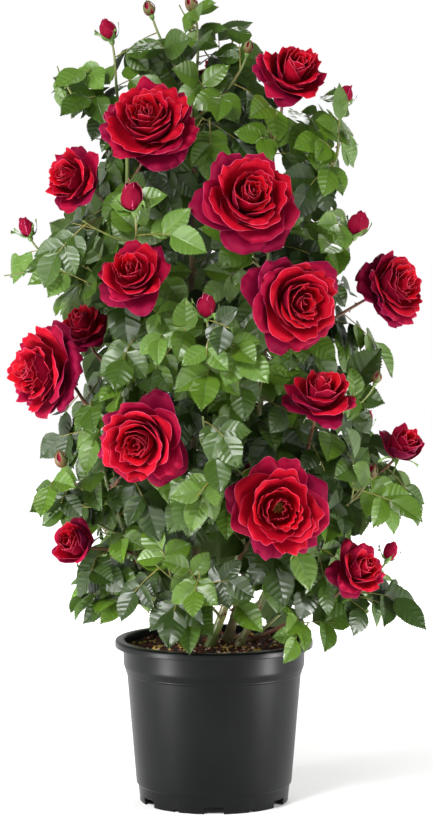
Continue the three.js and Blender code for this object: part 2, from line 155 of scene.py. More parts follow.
# %% Surround
# Share of the way up from straight below (0) to straight overhead (1), and the colour there
SURROUND = [(0.3, "#606060"), (0.38, "#ffffff"), (0.58, "#ffffff"), (0.8, "#606060")]
world = bpy.data.worlds.new("white_surround")
world.use_nodes = True
tree = world.node_tree
sky = add_node(tree, "ShaderNodeTexCoord")
split = add_node(tree, "ShaderNodeSeparateXYZ", links={"Vector": sky.outputs["Generated"]})
rise = add_node(
    tree, "ShaderNodeMapRange", {"From Min": -1.0, "From Max": 1.0}, {"Value": split.outputs["Z"]}
)
ramp = add_node(tree, "ShaderNodeValToRGB", links={"Fac": rise.outputs["Result"]})
stops = ramp.color_ramp.elements
for stop, (position, colour) in zip(stops, (SURROUND[0], SURROUND[-1])):
    stop.position, stop.color = position, linear(colour)
for position, colour in SURROUND[1:-1]:
    stops.new(position).color = linear(colour)
tree.links.new(ramp.outputs["Color"], tree.nodes["Background"].inputs["Color"])
scene.world = world
print("surround:", len(stops), "stops")

# %% Floor
# The floor starts to glow at a little distance from the pot, so that it keeps the pot's shadow
# and fades into the white surround.
FLOOR_RADIUS = 6000
bm = bmesh.new()
bmesh.ops.create_circle(bm, cap_ends=True, segments=96, radius=FLOOR_RADIUS)
lit_floor = {"Emission_Color": linear("#ffffff")}
floor_acrylic, tree, shader = finish("acrylic_opal_lit", "#f7f7f6", 0.9, **lit_floor)
place = add_node(tree, "ShaderNodeTexCoord")
away = add_node(
    tree, "ShaderNodeVectorMath", {"operation": "LENGTH"}, {"Vector": place.outputs["Object"]}
)
glow_range = {"From Min": 0.25, "From Max": 2.0, "To Min": 0.0, "To Max": 0.75}
glow = add_node(tree, "ShaderNodeMapRange", glow_range, {"Value": away.outputs["Value"]})
tree.links.new(glow.outputs["Result"], shader.inputs["Emission Strength"])
floor = put_in_scene("floor", mesh_from("floor", bm), [floor_acrylic])
floor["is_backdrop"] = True
print("floor:", 2 * FLOOR_RADIUS * MM, "m across")

# %% Panels
# name: place, width, height and power in watts
PANELS = {
    "key_panel": ((-1.8, -2.8, 3.0), 1.2, 1.2, 185),
    "left_strip": ((-2.7, -1.8, 0.9), 0.7, 2.2, 48),
    "right_strip": ((2.9, -1.3, 0.9), 0.5, 2.2, 48),
    "low_left_strip": ((-0.76, -0.48, 0.1), 0.22, 0.2, 7),
    "low_right_strip": ((0.83, -0.34, 0.1), 0.16, 0.2, 7),
    "back_panel": ((0.6, 2.8, 2.6), 1.6, 1.6, 90),
}
PLANT_MIDDLE, POT_MIDDLE = 0.6, 0.12  # heights that the high and the low panels face
for name, (place, width, height, power) in PANELS.items():
    light = bpy.data.lights.new(name, "AREA")
    light.shape, light.size, light.size_y = "RECTANGLE", width, height
    light.energy = power
    panel = bpy.data.objects.new(name, light)
    panel.location = place
    target = (0, 0, PLANT_MIDDLE if place[2] > 0.5 else POT_MIDDLE)
    aim = Vector(target) - Vector(place)
    panel.rotation_euler = aim.to_track_quat("-Z", "Y").to_euler()
    scene.collection.objects.link(panel)
print("panels:", sorted(PANELS))

# %% [markdown]
# ## Finishes
#
# Plant surfaces are thin and waxy, or thin and velvety. A rose leaf has a waxy skin over raised
# cushions of tissue, so it shows soft grey lights: roughness a little under 0.4 does that. A
# petal's skin is made of tiny cones, which scatter light at the rim: a faint sheen. Patterns read
# Object coordinates, with their scale worked out from a real size in millimetres. The many small
# leaves and petals keep one plain colour for each class, and the class changes from spray to
# spray, because a fine pattern across thousands of pieces would only blur.


# %% Patterns
CONTRAST = (0.35, 0.65)  # the range of the noise over which a mottle's colours change


def mottle(tree, shader, colours, size_mm, detail=4.0, stretch=(1, 1, 1)):
    """Mixes colours over the surface in soft patches of about size_mm."""
    place = add_node(tree, "ShaderNodeTexCoord")
    turn = add_node(
        tree, "ShaderNodeMapping", {"Scale": stretch}, {"Vector": place.outputs["Object"]}
    )
    settings = {"Scale": 1 / (size_mm * MM), "Detail": detail, "Roughness": 0.6}
    patches = add_node(tree, "ShaderNodeTexNoise", settings, {"Vector": turn.outputs["Vector"]})
    ramp = add_node(tree, "ShaderNodeValToRGB", links={"Fac": patches.outputs["Fac"]})
    stops = ramp.color_ramp.elements
    while len(stops) < len(colours):
        stops.new(0.5)
    for i, colour in enumerate(colours):
        share = i / (len(colours) - 1)
        stops[i].position = CONTRAST[0] + (CONTRAST[1] - CONTRAST[0]) * share
        stops[i].color = linear(colour)
    tree.links.new(ramp.outputs["Color"], shader.inputs["Base Color"])


def roughen(tree, shader, size_mm, depth_mm, detail=2.0):
    """Raises and lowers the surface a little, in grains of about size_mm."""
    place = add_node(tree, "ShaderNodeTexCoord")
    settings = {"Scale": 1 / (size_mm * MM), "Detail": detail}
    grain = add_node(tree, "ShaderNodeTexNoise", settings, {"Vector": place.outputs["Object"]})
    settings = {"Strength": 1.0, "Distance": depth_mm * MM}
    bump = add_node(tree, "ShaderNodeBump", settings, {"Height": grain.outputs["Fac"]})
    tree.links.new(bump.outputs["Normal"], shader.inputs["Normal"])


# %% Pot and soil finishes
# Black polypropylene from an injection mould: satin, faintly grained, and dark grey in the light.
pot_plastic, tree, shader = finish(
    "polypropylene_moulded_black", "#0c0d0e", 0.34, Specular_IOR_Level=0.14
)
mottle(tree, shader, ["#070808", "#0c0d0e"], 70)
roughen(tree, shader, 1.6, 0.02)

# Peat and composted bark, watered and settled: dark, crumbly and without shine.
compost, tree, shader = finish("peat_compost_sifted", "#2a1710", 0.95)
mottle(tree, shader, ["#150b08", "#34190f", "#4d2a1c"], 5, detail=6)
roughen(tree, shader, 2.5, 0.9, detail=6)

# Chips of conifer wood and bark, split and dry, so they are pale and matt.
wood_chip, _, _ = finish("conifer_wood_chipped", "#b79a4e", 0.85)
bark_chip, _, _ = finish("conifer_bark_crushed", "#5b3020", 0.9)

# Perlite, a volcanic glass popped by heat: chalky pale grains.
perlite, _, _ = finish("perlite_expanded", "#e3c6ae", 0.8)

# %% Stem finishes
# Ripe rose bark: a dull brown skin, streaked lengthwise with grey and olive.
old_bark, tree, shader = finish("rose_bark_ripened", "#5b4a2f", 0.62)
mottle(tree, shader, ["#3d2d20", "#655434", "#71703f"], 16, stretch=(1, 1, 0.2))
roughen(tree, shader, 3, 0.25, detail=4)

# The skin of this year's canes: smooth, waxy and olive green.
green_bark, tree, shader = finish("rose_cane_waxed_green", "#5f6a30", 0.45, Coat_Weight=0.15)
mottle(tree, shader, ["#4c5a28", "#66743a", "#6c5c34"], 22, stretch=(1, 1, 0.25))

# Young wood that the sun has reddened: waxy, red-brown over green.
red_stem, tree, shader = finish("rose_cane_waxed_red", "#6b4030", 0.45, Coat_Weight=0.15)
mottle(tree, shader, ["#643228", "#70563a"], 25)

# Leaf stalks: thin, soft and olive.
soft_stem, _, _ = finish("rose_stalk_soft", "#7a7236", 0.5)

# Prickles: dry cork with a red-brown skin.
prickle_cork, _, _ = finish("rose_prickle_corky", "#7a3b28", 0.55)

# %% Leaf finishes
# The upper skin is waxed, so it takes soft grey lights. The underside is paler and matt, and
# the rib lies in a groove: paler than a young blade, and darker than an older one, which is
# painted shade in the groove. One set of tints for each age of leaf.
LEAF_TINTS = {
    # The deep and old tints are also painted shade: leaves near the crown's axis are drawn to them.
    "deep": ("#1f3206", "#3f5229", "#182a06"),
    "old": ("#31490c", "#4f6332", "#263d0a"),
    "grown": ("#456114", "#60763e", "#385412"),
    "fresh": ("#4e6c25", "#6a8046", "#5e7c2f"),
    "young": ("#58762c", "#74904c", "#6d8a40"),
}
leaf_finishes = {}
for age, (upper, under, rib) in LEAF_TINTS.items():
    leaf_finishes[age] = [
        finish(f"rose_leaf_{age}_waxed", upper, 0.37, Specular_IOR_Level=0.5)[0],
        finish(f"rose_leaf_{age}_underside", under, 0.65, Specular_IOR_Level=0.3)[0],
        finish(f"rose_leaf_{age}_rib", rib, 0.45)[0],
    ]

# %% Petal finishes
# Petal skin is velvet, from tiny cones that light up at the rim. The face and the back of a petal
# differ, and its edge takes a paler tint, a painted highlight where the rim catches the light. The
# tints also differ for the heart, the cups and the outer guard of a bloom, and a bud.
PETAL_TINTS = {
    # Face, back and edge tints for each part; the paler edge tint is a painted highlight.
    "heart": ("#a80415", "#88041b", "#c43c52"),
    "cup": ("#99041b", "#760521", "#b83652"),
    "guard": ("#840428", "#600629", "#a43054"),
    "outer": ("#700429", "#54062c", "#902654"),
    "bud": ("#6c061e", "#740524", "#cc5c84"),
}
VELVET = {
    "Sheen_Weight": 0.02,
    "Sheen_Roughness": 0.35,
    "Sheen_Tint": linear("#ff6f9a"),
    "Specular_IOR_Level": 0.06,
}
petal_finishes = {}
for part, tints in PETAL_TINTS.items():
    petal_finishes[part] = [
        finish(f"rose_petal_{part}_{side}", tint, 0.6, **VELVET)[0]
        for side, tint in zip(("face", "back", "edge"), tints)
    ]

# Sepals and hips are matt green, a little greyer than the leaves, and small buds ripen brown.
sepal_green, _, _ = finish("rose_sepal_matt", "#5c7838", 0.55)
bud_skin, tree, shader = finish("rose_bud_ripening", "#5c4c24", 0.55)
mottle(tree, shader, ["#6c3022", "#5c4c24", "#4a622a"], 15)
pollen, _, _ = finish("rose_stamen_pollen", "#d9952c", 0.8)
print("finishes:", len(bpy.data.materials))

# %% [markdown]
# ## The pot
#
# A nursery pot is one thin moulded wall: a lip, a wide collar that stiffens it, a tapering body
# and a raised floor with drain gates in the foot. Turning a profile round the axis gives the
# wall, and cutting boxes out of the foot gives the gates. The mould's radii are put into the
# profile itself, so that each edge catches a thin light.


# %% Profiles
ARC_STEPS = 4  # pieces of the arc at each softened corner


def softened(points):
    """A profile of (radius, height, corner radius), with an arc put in at each corner."""
    smooth = [Vector(points[0][:2])]
    for before, corner, after in zip(points, points[1:], points[2:]):
        middle = Vector(corner[:2])
        into, out = Vector(before[:2]) - middle, Vector(after[:2]) - middle
        reach = min(corner[2], 0.45 * into.length, 0.45 * out.length)
        start, end = middle + into.normalized() * reach, middle + out.normalized() * reach
        for i in range(ARC_STEPS + 1):
            t = i / ARC_STEPS
            smooth.append(start * (1 - t) ** 2 + middle * 2 * t * (1 - t) + end * t**2)
    return smooth + [Vector(points[-1][:2])]


def turned(profile, steps):
    """Spins a profile of (radius, height) points round the z axis, closed and facing out."""
    bm = bmesh.new()
    ring = [bm.verts.new((radius, 0, height)) for radius, height in profile]
    edges = [bm.edges.new(pair) for pair in zip(ring, ring[1:])]
    axis = {"cent": (0, 0, 0), "axis": (0, 0, 1), "angle": 2 * math.pi}
    bmesh.ops.spin(bm, geom=ring + edges, steps=steps, use_merge=True, **axis)
    bmesh.ops.remove_doubles(bm, verts=bm.verts, dist=1e-3)
    bmesh.ops.recalc_face_normals(bm, faces=bm.faces)
    return bm


# %% Pot wall
# Radius, height and corner radius, from the floor's middle below, up the wall and back inside
POT_PROFILE = [
    (0, 0, 0), (44, 0, 3), (53, 14, 2), (99, 14, 2), (102.5, 0, 0.8), (105, 0, 1),
    (107.5, 24, 1.5), (110, 26, 1.5), (123.2, 182, 1), (124.6, 183, 1), (124.6, 185, 1),
    (128, 194, 3), (129, 227.8, 0.8), (137.8, 227.8, 1.5), (137.8, 220, 0.9), (140, 220, 1),
    (140, 230, 3.5), (126.8, 230, 2), (125.8, 194, 3), (121.3, 183, 3), (107.8, 26, 2),
    (105.5, 16.2, 1), (51, 16.2, 1), (42, 2.2, 2), (0, 2.2, 0),
]  # fmt: skip
POT_STEPS = 144
pot = put_in_scene("pot_wall", mesh_from("pot_wall", turned(softened(POT_PROFILE), POT_STEPS)), [])
print("pot wall:", len(pot.data.polygons), "faces")

# %% Drain gates
GATES = [(-90, 27, 10), (-60, 8, 4)]  # bearing of the first, width, height: six of each
FOOT_RADIUS = 105
CUT_DEPTH, CUT_BELOW = 16, 2  # how deep a cutting box is, and how far it reaches below the foot
bm = bmesh.new()
for first, width, height in GATES:
    for i in range(6):
        box = bmesh.ops.create_cube(bm, size=1)["verts"]
        bmesh.ops.scale(bm, verts=box, vec=(CUT_DEPTH, width, height + CUT_BELOW))
        bmesh.ops.translate(bm, verts=box, vec=(FOOT_RADIUS, 0, (height - CUT_BELOW) / 2))
        turn = Matrix.Rotation(math.radians(first + 60 * i), 3, "Z")
        bmesh.ops.rotate(bm, verts=box, cent=(0, 0, 0), matrix=turn)
cutter = put_in_scene("gate_cutter", mesh_from("gate_cutter", bm), [])
cut = pot.modifiers.new("gates", "BOOLEAN")
cut.operation, cut.solver, cut.object = "DIFFERENCE", "EXACT", cutter
bpy.context.view_layer.update()
seen = pot.evaluated_get(bpy.context.evaluated_depsgraph_get())
pot.data = bpy.data.meshes.new_from_object(seen)
pot.modifiers.clear()
pot.data.materials.clear()
pot.data.materials.append(pot_plastic)
bpy.data.objects.remove(cutter)
shade(pot, 35)
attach(pot, "root")
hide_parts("pot")
print("pot with gates:", len(pot.data.polygons), "faces")

# %% [markdown]
# ## The soil
#
# Compost settles into a lumpy disc with a slight dip at the wall, and watering washes chips and
# grains of perlite to the top. The disc is a turned profile whose top is raised by noise. The
# chips are a few rough lumps, copied by arrays, flattened, turned and sunk into the surface.

# %% Compost
SOIL_TOP = 219
SOIL_RADIUS = 125.3
SOIL_RINGS, SOIL_STEPS = 40, 150
top = [(SOIL_RADIUS * (1 - i / SOIL_RINGS), SOIL_TOP) for i in range(SOIL_RINGS + 1)]
profile = [(0, 17), (103, 17), (107, 26), (120.6, 183), (124.6, 194), *top]
bm = turned(profile, SOIL_STEPS)


def soil_height(x, y):
    """How high the compost stands above its level: lumps 22 mm apart with 5 mm crumbs on them."""
    lumps = noise.noise(Vector((x / 22, y / 22, 3))) * 3.0
    crumbs = noise.noise(Vector((x / 5, y / 5, 8))) * 1.6
    edge = min(1.0, (SOIL_RADIUS - math.hypot(x, y)) / 12)
    return (lumps + crumbs) * edge


for vertex in bm.verts:
    if vertex.co.z > SOIL_TOP - 0.5:
        vertex.co.z += soil_height(vertex.co.x, vertex.co.y)
soil = put_in_scene("compost", mesh_from("compost", bm), [compost])
shade(soil, 50)
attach(soil, "root")
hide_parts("soil")
print("compost:", len(soil.data.polygons), "faces")


# %% Copies of a small shape
def shape_of(bm):
    """Reads a small bmesh as arrays: points, face corners, face sizes and material slots."""
    bm.verts.index_update()
    points = np.array([tuple(v.co) for v in bm.verts])
    corners = np.array([v.index for f in bm.faces for v in f.verts])
    sizes = np.array([len(f.verts) for f in bm.faces])
    slots = np.array([f.material_index for f in bm.faces])
    bm.free()
    return points, corners, sizes, slots


def joined_copies(name, shape, placed, materials):
    """One mesh from many copies of a shape: placed holds each copy's points, in millimetres."""
    corners, sizes, slots = shape[1:]
    copies, count = placed.shape[:2]
    mesh = bpy.data.meshes.new(name)
    mesh.vertices.add(copies * count)
    mesh.vertices.foreach_set("co", (placed * MM).ravel())
    mesh.loops.add(copies * len(corners))
    shift = np.arange(copies)[:, None] * count
    mesh.loops.foreach_set("vertex_index", (corners[None, :] + shift).ravel())
    mesh.polygons.add(copies * len(sizes))
    starts = np.concatenate([[0], np.cumsum(np.tile(sizes, copies))[:-1]])
    mesh.polygons.foreach_set("loop_start", starts)
    mesh.polygons.foreach_set("material_index", np.tile(slots, copies))
    mesh.update(calc_edges=True)
    mesh.validate()
    return put_in_scene(name, mesh, materials)


def unit(vectors):
    """Vectors scaled to length one."""
    vectors = np.asarray(vectors, float)
    return vectors / np.linalg.norm(vectors, axis=-1, keepdims=True)


def squared(vectors, to):
    """Directions squared to other ones."""
    vectors, to = np.asarray(vectors, float), np.asarray(to, float)
    return unit(vectors - np.sum(vectors * to, axis=-1, keepdims=True) * to)


# %% Chips and perlite
dice = np.random.RandomState(11)
# name: material, how many, smallest and largest length, thickness for a length of one
CHIPS = {
    "wood_chips": (wood_chip, 150, (4.5, 10), 0.45),
    "bark_chips": (bark_chip, 420, (4, 11), 0.35),
    "perlite_grains": (perlite, 110, (3, 6.5), 0.8),
}
for name, (material, count, (small, large), flatness) in CHIPS.items():
    bm = bmesh.new()
    bmesh.ops.create_icosphere(bm, subdivisions=1, radius=0.5)
    for vertex in bm.verts:
        vertex.co *= 1 + 0.25 * noise.noise(vertex.co * 5)
    lump = shape_of(bm)
    size = dice.uniform(small, large, (count, 1))
    stretch = np.concatenate([size, size * dice.uniform(0.4, 0.8, (count, 1)), size * flatness], 1)
    ahead = unit(dice.normal(size=(count, 3)) * (1, 1, 0.25))
    up = squared(dice.normal(size=(count, 3)) * (0.3, 0.3, 0.1) + (0, 0, 1), ahead)
    aside = np.cross(up, ahead)
    radius = (SOIL_RADIUS - 5) * np.sqrt(dice.uniform(0, 1, count))
    bearing = dice.uniform(0, 2 * math.pi, count)
    place = np.stack([radius * np.cos(bearing), radius * np.sin(bearing)], 1)
    height = [SOIL_TOP + soil_height(x, y) + 0.1 * s for (x, y), s in zip(place, size[:, 0])]
    place = np.concatenate([place, np.array(height)[:, None]], 1)
    local = lump[0][None] * stretch[:, None]
    axes = np.stack([ahead, aside, up], 1)
    placed = np.einsum("nvk,nkd->nvd", local, axes) + place[:, None]
    chips = joined_copies(name, lump, placed, [material])
    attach(chips, "root")
    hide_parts("soil")
    print(name, len(chips.data.polygons), "faces")

# %% [markdown]
# ## The canes
#
# A cane leaves the soil nearly upright, swings out and grows up to where it was last pruned or
# still flowers. Its line is one Bezier curve from foot to tip. The bark's relief is modelled:
# shallow ridges along the cane, a low ring with a scar at each old leaf, and hooked prickles.

# %% Curves
UP = np.array([0.0, 0.0, 1.0])


class Path:
    """A Bezier curve that is measured along its length, from 0 at its start to 1 at its end."""

    def __init__(self, *points):
        self.points = np.array(points, float)
        self.shares = np.linspace(0, 1, 201)
        steps = np.diff(self.raw(self.shares), axis=0)
        self.run = np.concatenate([[0], np.cumsum(np.linalg.norm(steps, axis=1))])
        self.length = self.run[-1]

    def raw(self, t):
        t = np.asarray(t, float)[..., None]
        order = len(self.points) - 1
        weights = [math.comb(order, i) * (1 - t) ** (order - i) * t**i for i in range(order + 1)]
        return sum(w * p for w, p in zip(weights, self.points))

    def at(self, t):
        return self.raw(np.interp(np.asarray(t) * self.length, self.run, self.shares))

    def tangent(self, t):
        return unit(self.at(np.minimum(t + 0.005, 1)) - self.at(np.maximum(t - 0.005, 0)))


def outward_at(place):
    """The level direction from the plant's middle out to a place."""
    flat = np.array([place[0], place[1], 0.0])
    return unit(flat) if flat @ flat > 1 else np.array([0.0, -1.0, 0.0])


# %% Table of the canes
# name: foot on the soil, sideways swing, height of the knee, tip, radius, last used share, skin
CANES = {
    "cane_front": ((-8, -8), (75, -40), 150, (78, -70, 960), 6.2, 0.96, "green"),
    "cane_left_low": ((-38, 28), (-70, -75), 110, (-170, -75, 600), 4.4, 0.90, "green"),
    "cane_rear_right": ((18, 42), (60, 20), 170, (95, 70, 900), 6.6, 0.87, "old"),
    "cane_right_low": ((46, 24), (60, -25), 35, (182, -88, 330), 3.4, 0.96, "red"),
    "cane_middle": ((-16, 12), (-20, -10), 200, (-30, -25, 1040), 7, 0.96, "old"),
    "cane_left": ((-36, -4), (-90, -60), 170, (-120, -40, 990), 5.6, 0.96, "green"),
    "cane_right": ((34, 2), (110, -10), 180, (160, -45, 920), 5.4, 0.96, "green"),
    "cane_rear_left": ((-28, 56), (-55, 45), 220, (-75, 110, 930), 6, 0.96, "old"),
}
CANE_TIP_RADIUS = 2.3
CANE_FLARE = 0.3
CANE_SKINS = {"green": green_bark, "old": old_bark, "red": red_stem}
canes = {}
for name, (foot, swing, knee, tip, radius, used, skin) in CANES.items():
    ground = SOIL_TOP + 0.3
    shoulder = (tip[0], tip[1], tip[2] - (tip[2] - ground) / 3)
    elbow = (foot[0] + swing[0], foot[1] + swing[1], ground + knee)
    canes[name] = (Path((*foot, ground), elbow, shoulder, tip), radius, used, skin)


def cane_radius(name, t):
    """A cane's radius at a share of its length: it tapers, and flares a little at the soil."""
    path, radius = canes[name][:2]
    taper = radius + (CANE_TIP_RADIUS - radius) * t
    return taper * (1 + CANE_FLARE * math.exp(-t * path.length / 14))


print("canes:", {name: round(cane[0].length) for name, cane in canes.items()})


# %% Limbs with relief
FIRST_SIDE = (0.3, -0.2, 1.0)  # an odd direction that no stem follows, to square from


def frames_along(path, shares):
    """A point and two side directions at each share, carried along so that they never twist."""
    points, tangents = path.at(shares), path.tangent(shares)
    side = squared(FIRST_SIDE, tangents[0])
    sides = []
    for tangent in tangents:
        side = squared(side, tangent)
        sides.append(side)
    sides = np.array(sides)
    return points, sides, np.cross(tangents, sides)


def limb(name, material, path, last, radius_at, facets, rings):
    """A round limb: a cylinder cut into rings, each ring set square to the path."""
    bm = bmesh.new()
    size = {"radius1": 1, "radius2": 1, "depth": 1}
    bmesh.ops.create_cone(bm, cap_ends=True, segments=facets, **size)
    long_edges = [e for e in bm.edges if abs(e.verts[0].co.z - e.verts[1].co.z) > 0.5]
    bmesh.ops.subdivide_edges(bm, edges=long_edges, cuts=rings - 2)
    points, sides, others = frames_along(path, np.linspace(0, last, rings))
    for vertex in bm.verts:
        ring = round((vertex.co.z + 0.5) * (rings - 1))
        angle = math.atan2(vertex.co.y, vertex.co.x)
        reach = radius_at(last * ring / (rings - 1), angle)
        spoke = sides[ring] * math.cos(angle) + others[ring] * math.sin(angle)
        vertex.co = points[ring] + spoke * reach
        if ring == 0:
            vertex.co.z = SOIL_TOP - 3
    bmesh.ops.recalc_face_normals(bm, faces=bm.faces)
    return shade(put_in_scene(name, mesh_from(name, bm), [material]), SMALL_CREASE)


# %% Bark
NODE_STEP = 34  # between the scars of old leaves
CANE_FACETS = 14
RING_STEP = 4  # between the rings of a cane's mesh
OVERRUN = 0.02  # a cane ends this share past the last stem that it carries
RIDGE_DEPTH = {"old": 0.12, "green": 0.05, "red": 0.05}  # of the radius
for index, (name, (path, _, used, skin)) in enumerate(canes.items()):

    def relief(t, angle, name=name, length=path.length, index=index, skin=skin):
        """The cane's radius with ridges along it and a low ring at each old leaf."""
        base = cane_radius(name, t)
        run = t * length
        ridge = noise.noise(Vector((math.cos(angle) * 1.6, math.sin(angle) * 1.6, run / 45)))
        grain = noise.noise(Vector((math.cos(angle) * 3, math.sin(angle) * 3, run / 9 + index)))
        depth = RIDGE_DEPTH[skin]
        phase = (run + 7 * index) % NODE_STEP - NODE_STEP / 2
        scar = 0.14 * math.exp(-((phase / 2.2) ** 2)) * (0.6 + 0.4 * math.cos(angle - run))
        return base * (1 + depth * ridge + 0.6 * depth * grain + scar)

    rings = int(path.length * (used + OVERRUN) / RING_STEP)
    last = min(used + OVERRUN, 1)
    cane = limb(f"{name}_bark", CANE_SKINS[skin], path, last, relief, CANE_FACETS, rings)
    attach(cane, "root")
    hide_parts(name)

# %% [markdown]
# ## Flower stalks and shoots
#
# Each bloom and each leafy shoot hangs on one stem that leaves a cane sideways and turns up to
# its tip. The tables name the cane and the share of its length where the stem starts, the same
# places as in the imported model, so that each stem grows out of the wood that carries it.

# %% Table of the blooms
# name: cane, share of its length, middle, width, direction it faces, kind
ROSES = {
    "rose_upper_left": ("cane_left", 0.84, (-88, -150, 954), 139, (-0.1, -0.85, 0.5), "full"),
    "rose_upper_middle": ("cane_front", 0.75, (48, -190, 852), 142, (0.15, -0.9, 0.35), "full"),
    "rose_right_middle": ("cane_front", 0.57, (112, -190, 713), 141, (0.35, -0.93, 0), "full"),
    "rose_left_middle": ("cane_left_low", 0.63, (-97, -205, 527), 136, (-0.3, -0.93, -0.1), "full"),
    "rose_lower_right": ("cane_front", 0.18, (88, -205, 438), 144, (0.1, -0.99, 0.05), "open"),
    "rose_far_left": ("cane_left_low", 0.90, (-238, -60, 611), 136, (-0.78, -0.6, 0.05), "full"),
    "rose_behind_far_left": ("cane_left", 0.48, (-185, 45, 668), 84, (-0.25, -0.5, 0.8), "tea"),
    "rose_left_upper": ("cane_left", 0.57, (-105, -190, 748), 104, (-0.2, -0.85, 0.45), "tea"),
    "rose_small_left": ("cane_left", 0.78, (-192, -60, 877), 97, (-0.62, -0.74, 0.25), "tea"),
    "rose_top_right": ("cane_front", 0.96, (106, -90, 1020), 106, (0.35, -0.68, 0.6), "tea"),
    "rose_far_right": ("cane_right", 0.66, (252, -30, 728), 114, (0.72, -0.62, 0.3), "full"),
    "rose_right_lower": ("cane_right", 0.39, (144, -175, 588), 98, (0.15, -0.62, 0.75), "tea"),
    "rose_half_open_right": ("cane_right", 0.27, (260, -60, 504), 62, (0.4, -0.55, 0.7), "half"),
    "rose_low_right": ("cane_right_low", 0.96, (198, -120, 343), 86, (0.5, -0.75, 0.35), "tea"),
    "rose_half_open_left": (
        "cane_left_low", 0.39, (-186, -90, 375), 64, (-0.55, -0.75, 0.3), "half",
    ),
    "rose_top_rear": ("cane_rear_left", 0.96, (20, 115, 1030), 80, (0.1, 0.75, 0.65), "tea"),
    "rose_rear_upper": ("cane_rear_left", 0.81, (-75, 195, 850), 128, (-0.25, 0.9, 0.3), "full"),
    "rose_rear_right": ("cane_rear_right", 0.60, (110, 180, 690), 124, (0.4, 0.9, 0.1), "full"),
    "rose_rear_left": ("cane_rear_left", 0.36, (-120, 185, 545), 112, (-0.45, 0.85, 0.2), "full"),
    "rose_rear_low": ("cane_rear_right", 0.18, (45, 200, 420), 132, (0.1, 0.98, 0.1), "full"),
}  # fmt: skip

# %% Table of the shoots
# name: cane, share of its length, tip, length of the bud at the tip (0 for none)
SHOOTS = {
    "shoot_top_left": ("cane_left", 0.96, (-143, -20, 1072), 34),
    "shoot_top_middle_left": ("cane_middle", 0.96, (-88, 18, 1108), 30),
    "shoot_top_middle": ("cane_middle", 0.93, (-28, 0, 1112), 32),
    "shoot_top_right": ("cane_middle", 0.90, (46, -60, 1052), 26),
    "shoot_top_rear": ("cane_middle", 0.87, (30, 45, 1090), 0),
    "shoot_upper_left": ("cane_left", 0.93, (-205, -10, 1010), 0),
    "shoot_upper_right": ("cane_right", 0.96, (177, -60, 981), 32),
    "shoot_right_bud": ("cane_right", 0.78, (194, -80, 803), 38),
    "shoot_left_bud": ("cane_left", 0.66, (-256, -40, 800), 32),
    "shoot_front_upper": ("cane_left", 0.69, (-106, -200, 838), 42),
    "shoot_front_middle": ("cane_front", 0.51, (-10, -205, 696), 36),
    "shoot_left": ("cane_left_low", 0.57, (-207, -110, 486), 34),
    "shoot_right_lower": ("cane_right", 0.24, (214, -100, 470), 28),
    "shoot_right_low": ("cane_right_low", 0.84, (242, -50, 350), 30),
    "shoot_right": ("cane_right", 0.45, (222, -90, 600), 24),
    "shoot_left_lower": ("cane_left_low", 0.45, (-190, -40, 425), 0),
    "shoot_left_low": ("cane_left_low", 0.18, (-165, -60, 300), 0),
    "shoot_front_low": ("cane_front", 0.06, (-20, -175, 350), 0),
    "shoot_front": ("cane_front", 0.33, (-15, -190, 560), 0),
    "shoot_right_foot": ("cane_right_low", 0.39, (130, -100, 268), 0),
    "shoot_middle_upper": ("cane_front", 0.72, (75, -115, 800), 0),
    "shoot_middle_left": ("cane_left", 0.45, (-62, -130, 650), 0),
    "shoot_middle_right": ("cane_front", 0.45, (64, -135, 600), 0),
    "shoot_rear_top": ("cane_rear_left", 0.93, (-85, 125, 975), 30),
    "shoot_rear_upper_right": ("cane_rear_right", 0.87, (120, 170, 880), 34),
    "shoot_rear_middle": ("cane_rear_left", 0.51, (-10, 205, 660), 30),
    "shoot_rear_far_left": ("cane_rear_left", 0.66, (-200, 120, 760), 0),
    "shoot_rear_far_right": ("cane_rear_right", 0.30, (215, 110, 520), 32),
    "shoot_rear_low": ("cane_rear_left", 0.09, (-80, 190, 360), 0),
    "shoot_rear_right_low": ("cane_right_low", 0.06, (140, 130, 310), 0),
}


# %% Stems
STALK_RADIUS, SHOOT_RADIUS = 2.2, 2.0
HEART_BACK = 0.2  # a stalk ends this share of the bloom's width behind the bloom's middle


def stem_path(start, tip, heading):
    """A stem leaves its cane sideways and upwards, and arrives at its tip along heading."""
    start, tip, heading = (np.array(v, float) for v in (start, tip, heading))
    span = np.linalg.norm(tip - start)
    leave = unit((tip - start) * (1, 1, 0)) * 0.75 + UP * 0.45
    return Path(start, start + leave * 0.34 * span, tip - heading * 0.3 * span, tip)


stems = {}  # name: path and radius
blooms = {}
for name, (cane, share, middle, width, faces, kind) in ROSES.items():
    faces = unit(faces)
    tip = np.array(middle) - HEART_BACK * width * faces
    stems[name] = (stem_path(canes[cane][0].at(share), tip, faces), STALK_RADIUS)
    blooms[name] = (tip, faces, width, kind)
buds = {}
for name, (cane, share, tip, bud) in SHOOTS.items():
    heading = unit(outward_at(tip) * 0.35 + UP)
    stems[name] = (stem_path(canes[cane][0].at(share), tip, heading), SHOOT_RADIUS)
    if bud:
        buds[name] = (np.array(tip, float), heading, bud)
print("stems:", len(stems), "blooms:", len(blooms), "buds:", len(buds))

# %% [markdown]
# ## Growing the leaves
#
# A rose leaf is compound: a stalk with five leaflets, two pairs and one at the end. Along each
# shoot the leaves turn by the golden angle from one to the next, and every fifth place carries a
# side twig with leaves of its own. A leaf is tried at several turns, and it is kept where its
# leaflets clear the wood, the blooms and the other leaves, and stay inside the crown.

# %% What the leaves keep clear of
rod_starts, rod_ends, rod_radii, rod_owners = [], [], [], []


def add_rods(places, radius, owner):
    """Adds a line of points to the round-ended rods that leaves keep clear of."""
    for start, end in zip(places, places[1:]):
        rod_starts.append(start)
        rod_ends.append(end)
        rod_radii.append(radius)
        rod_owners.append(owner)


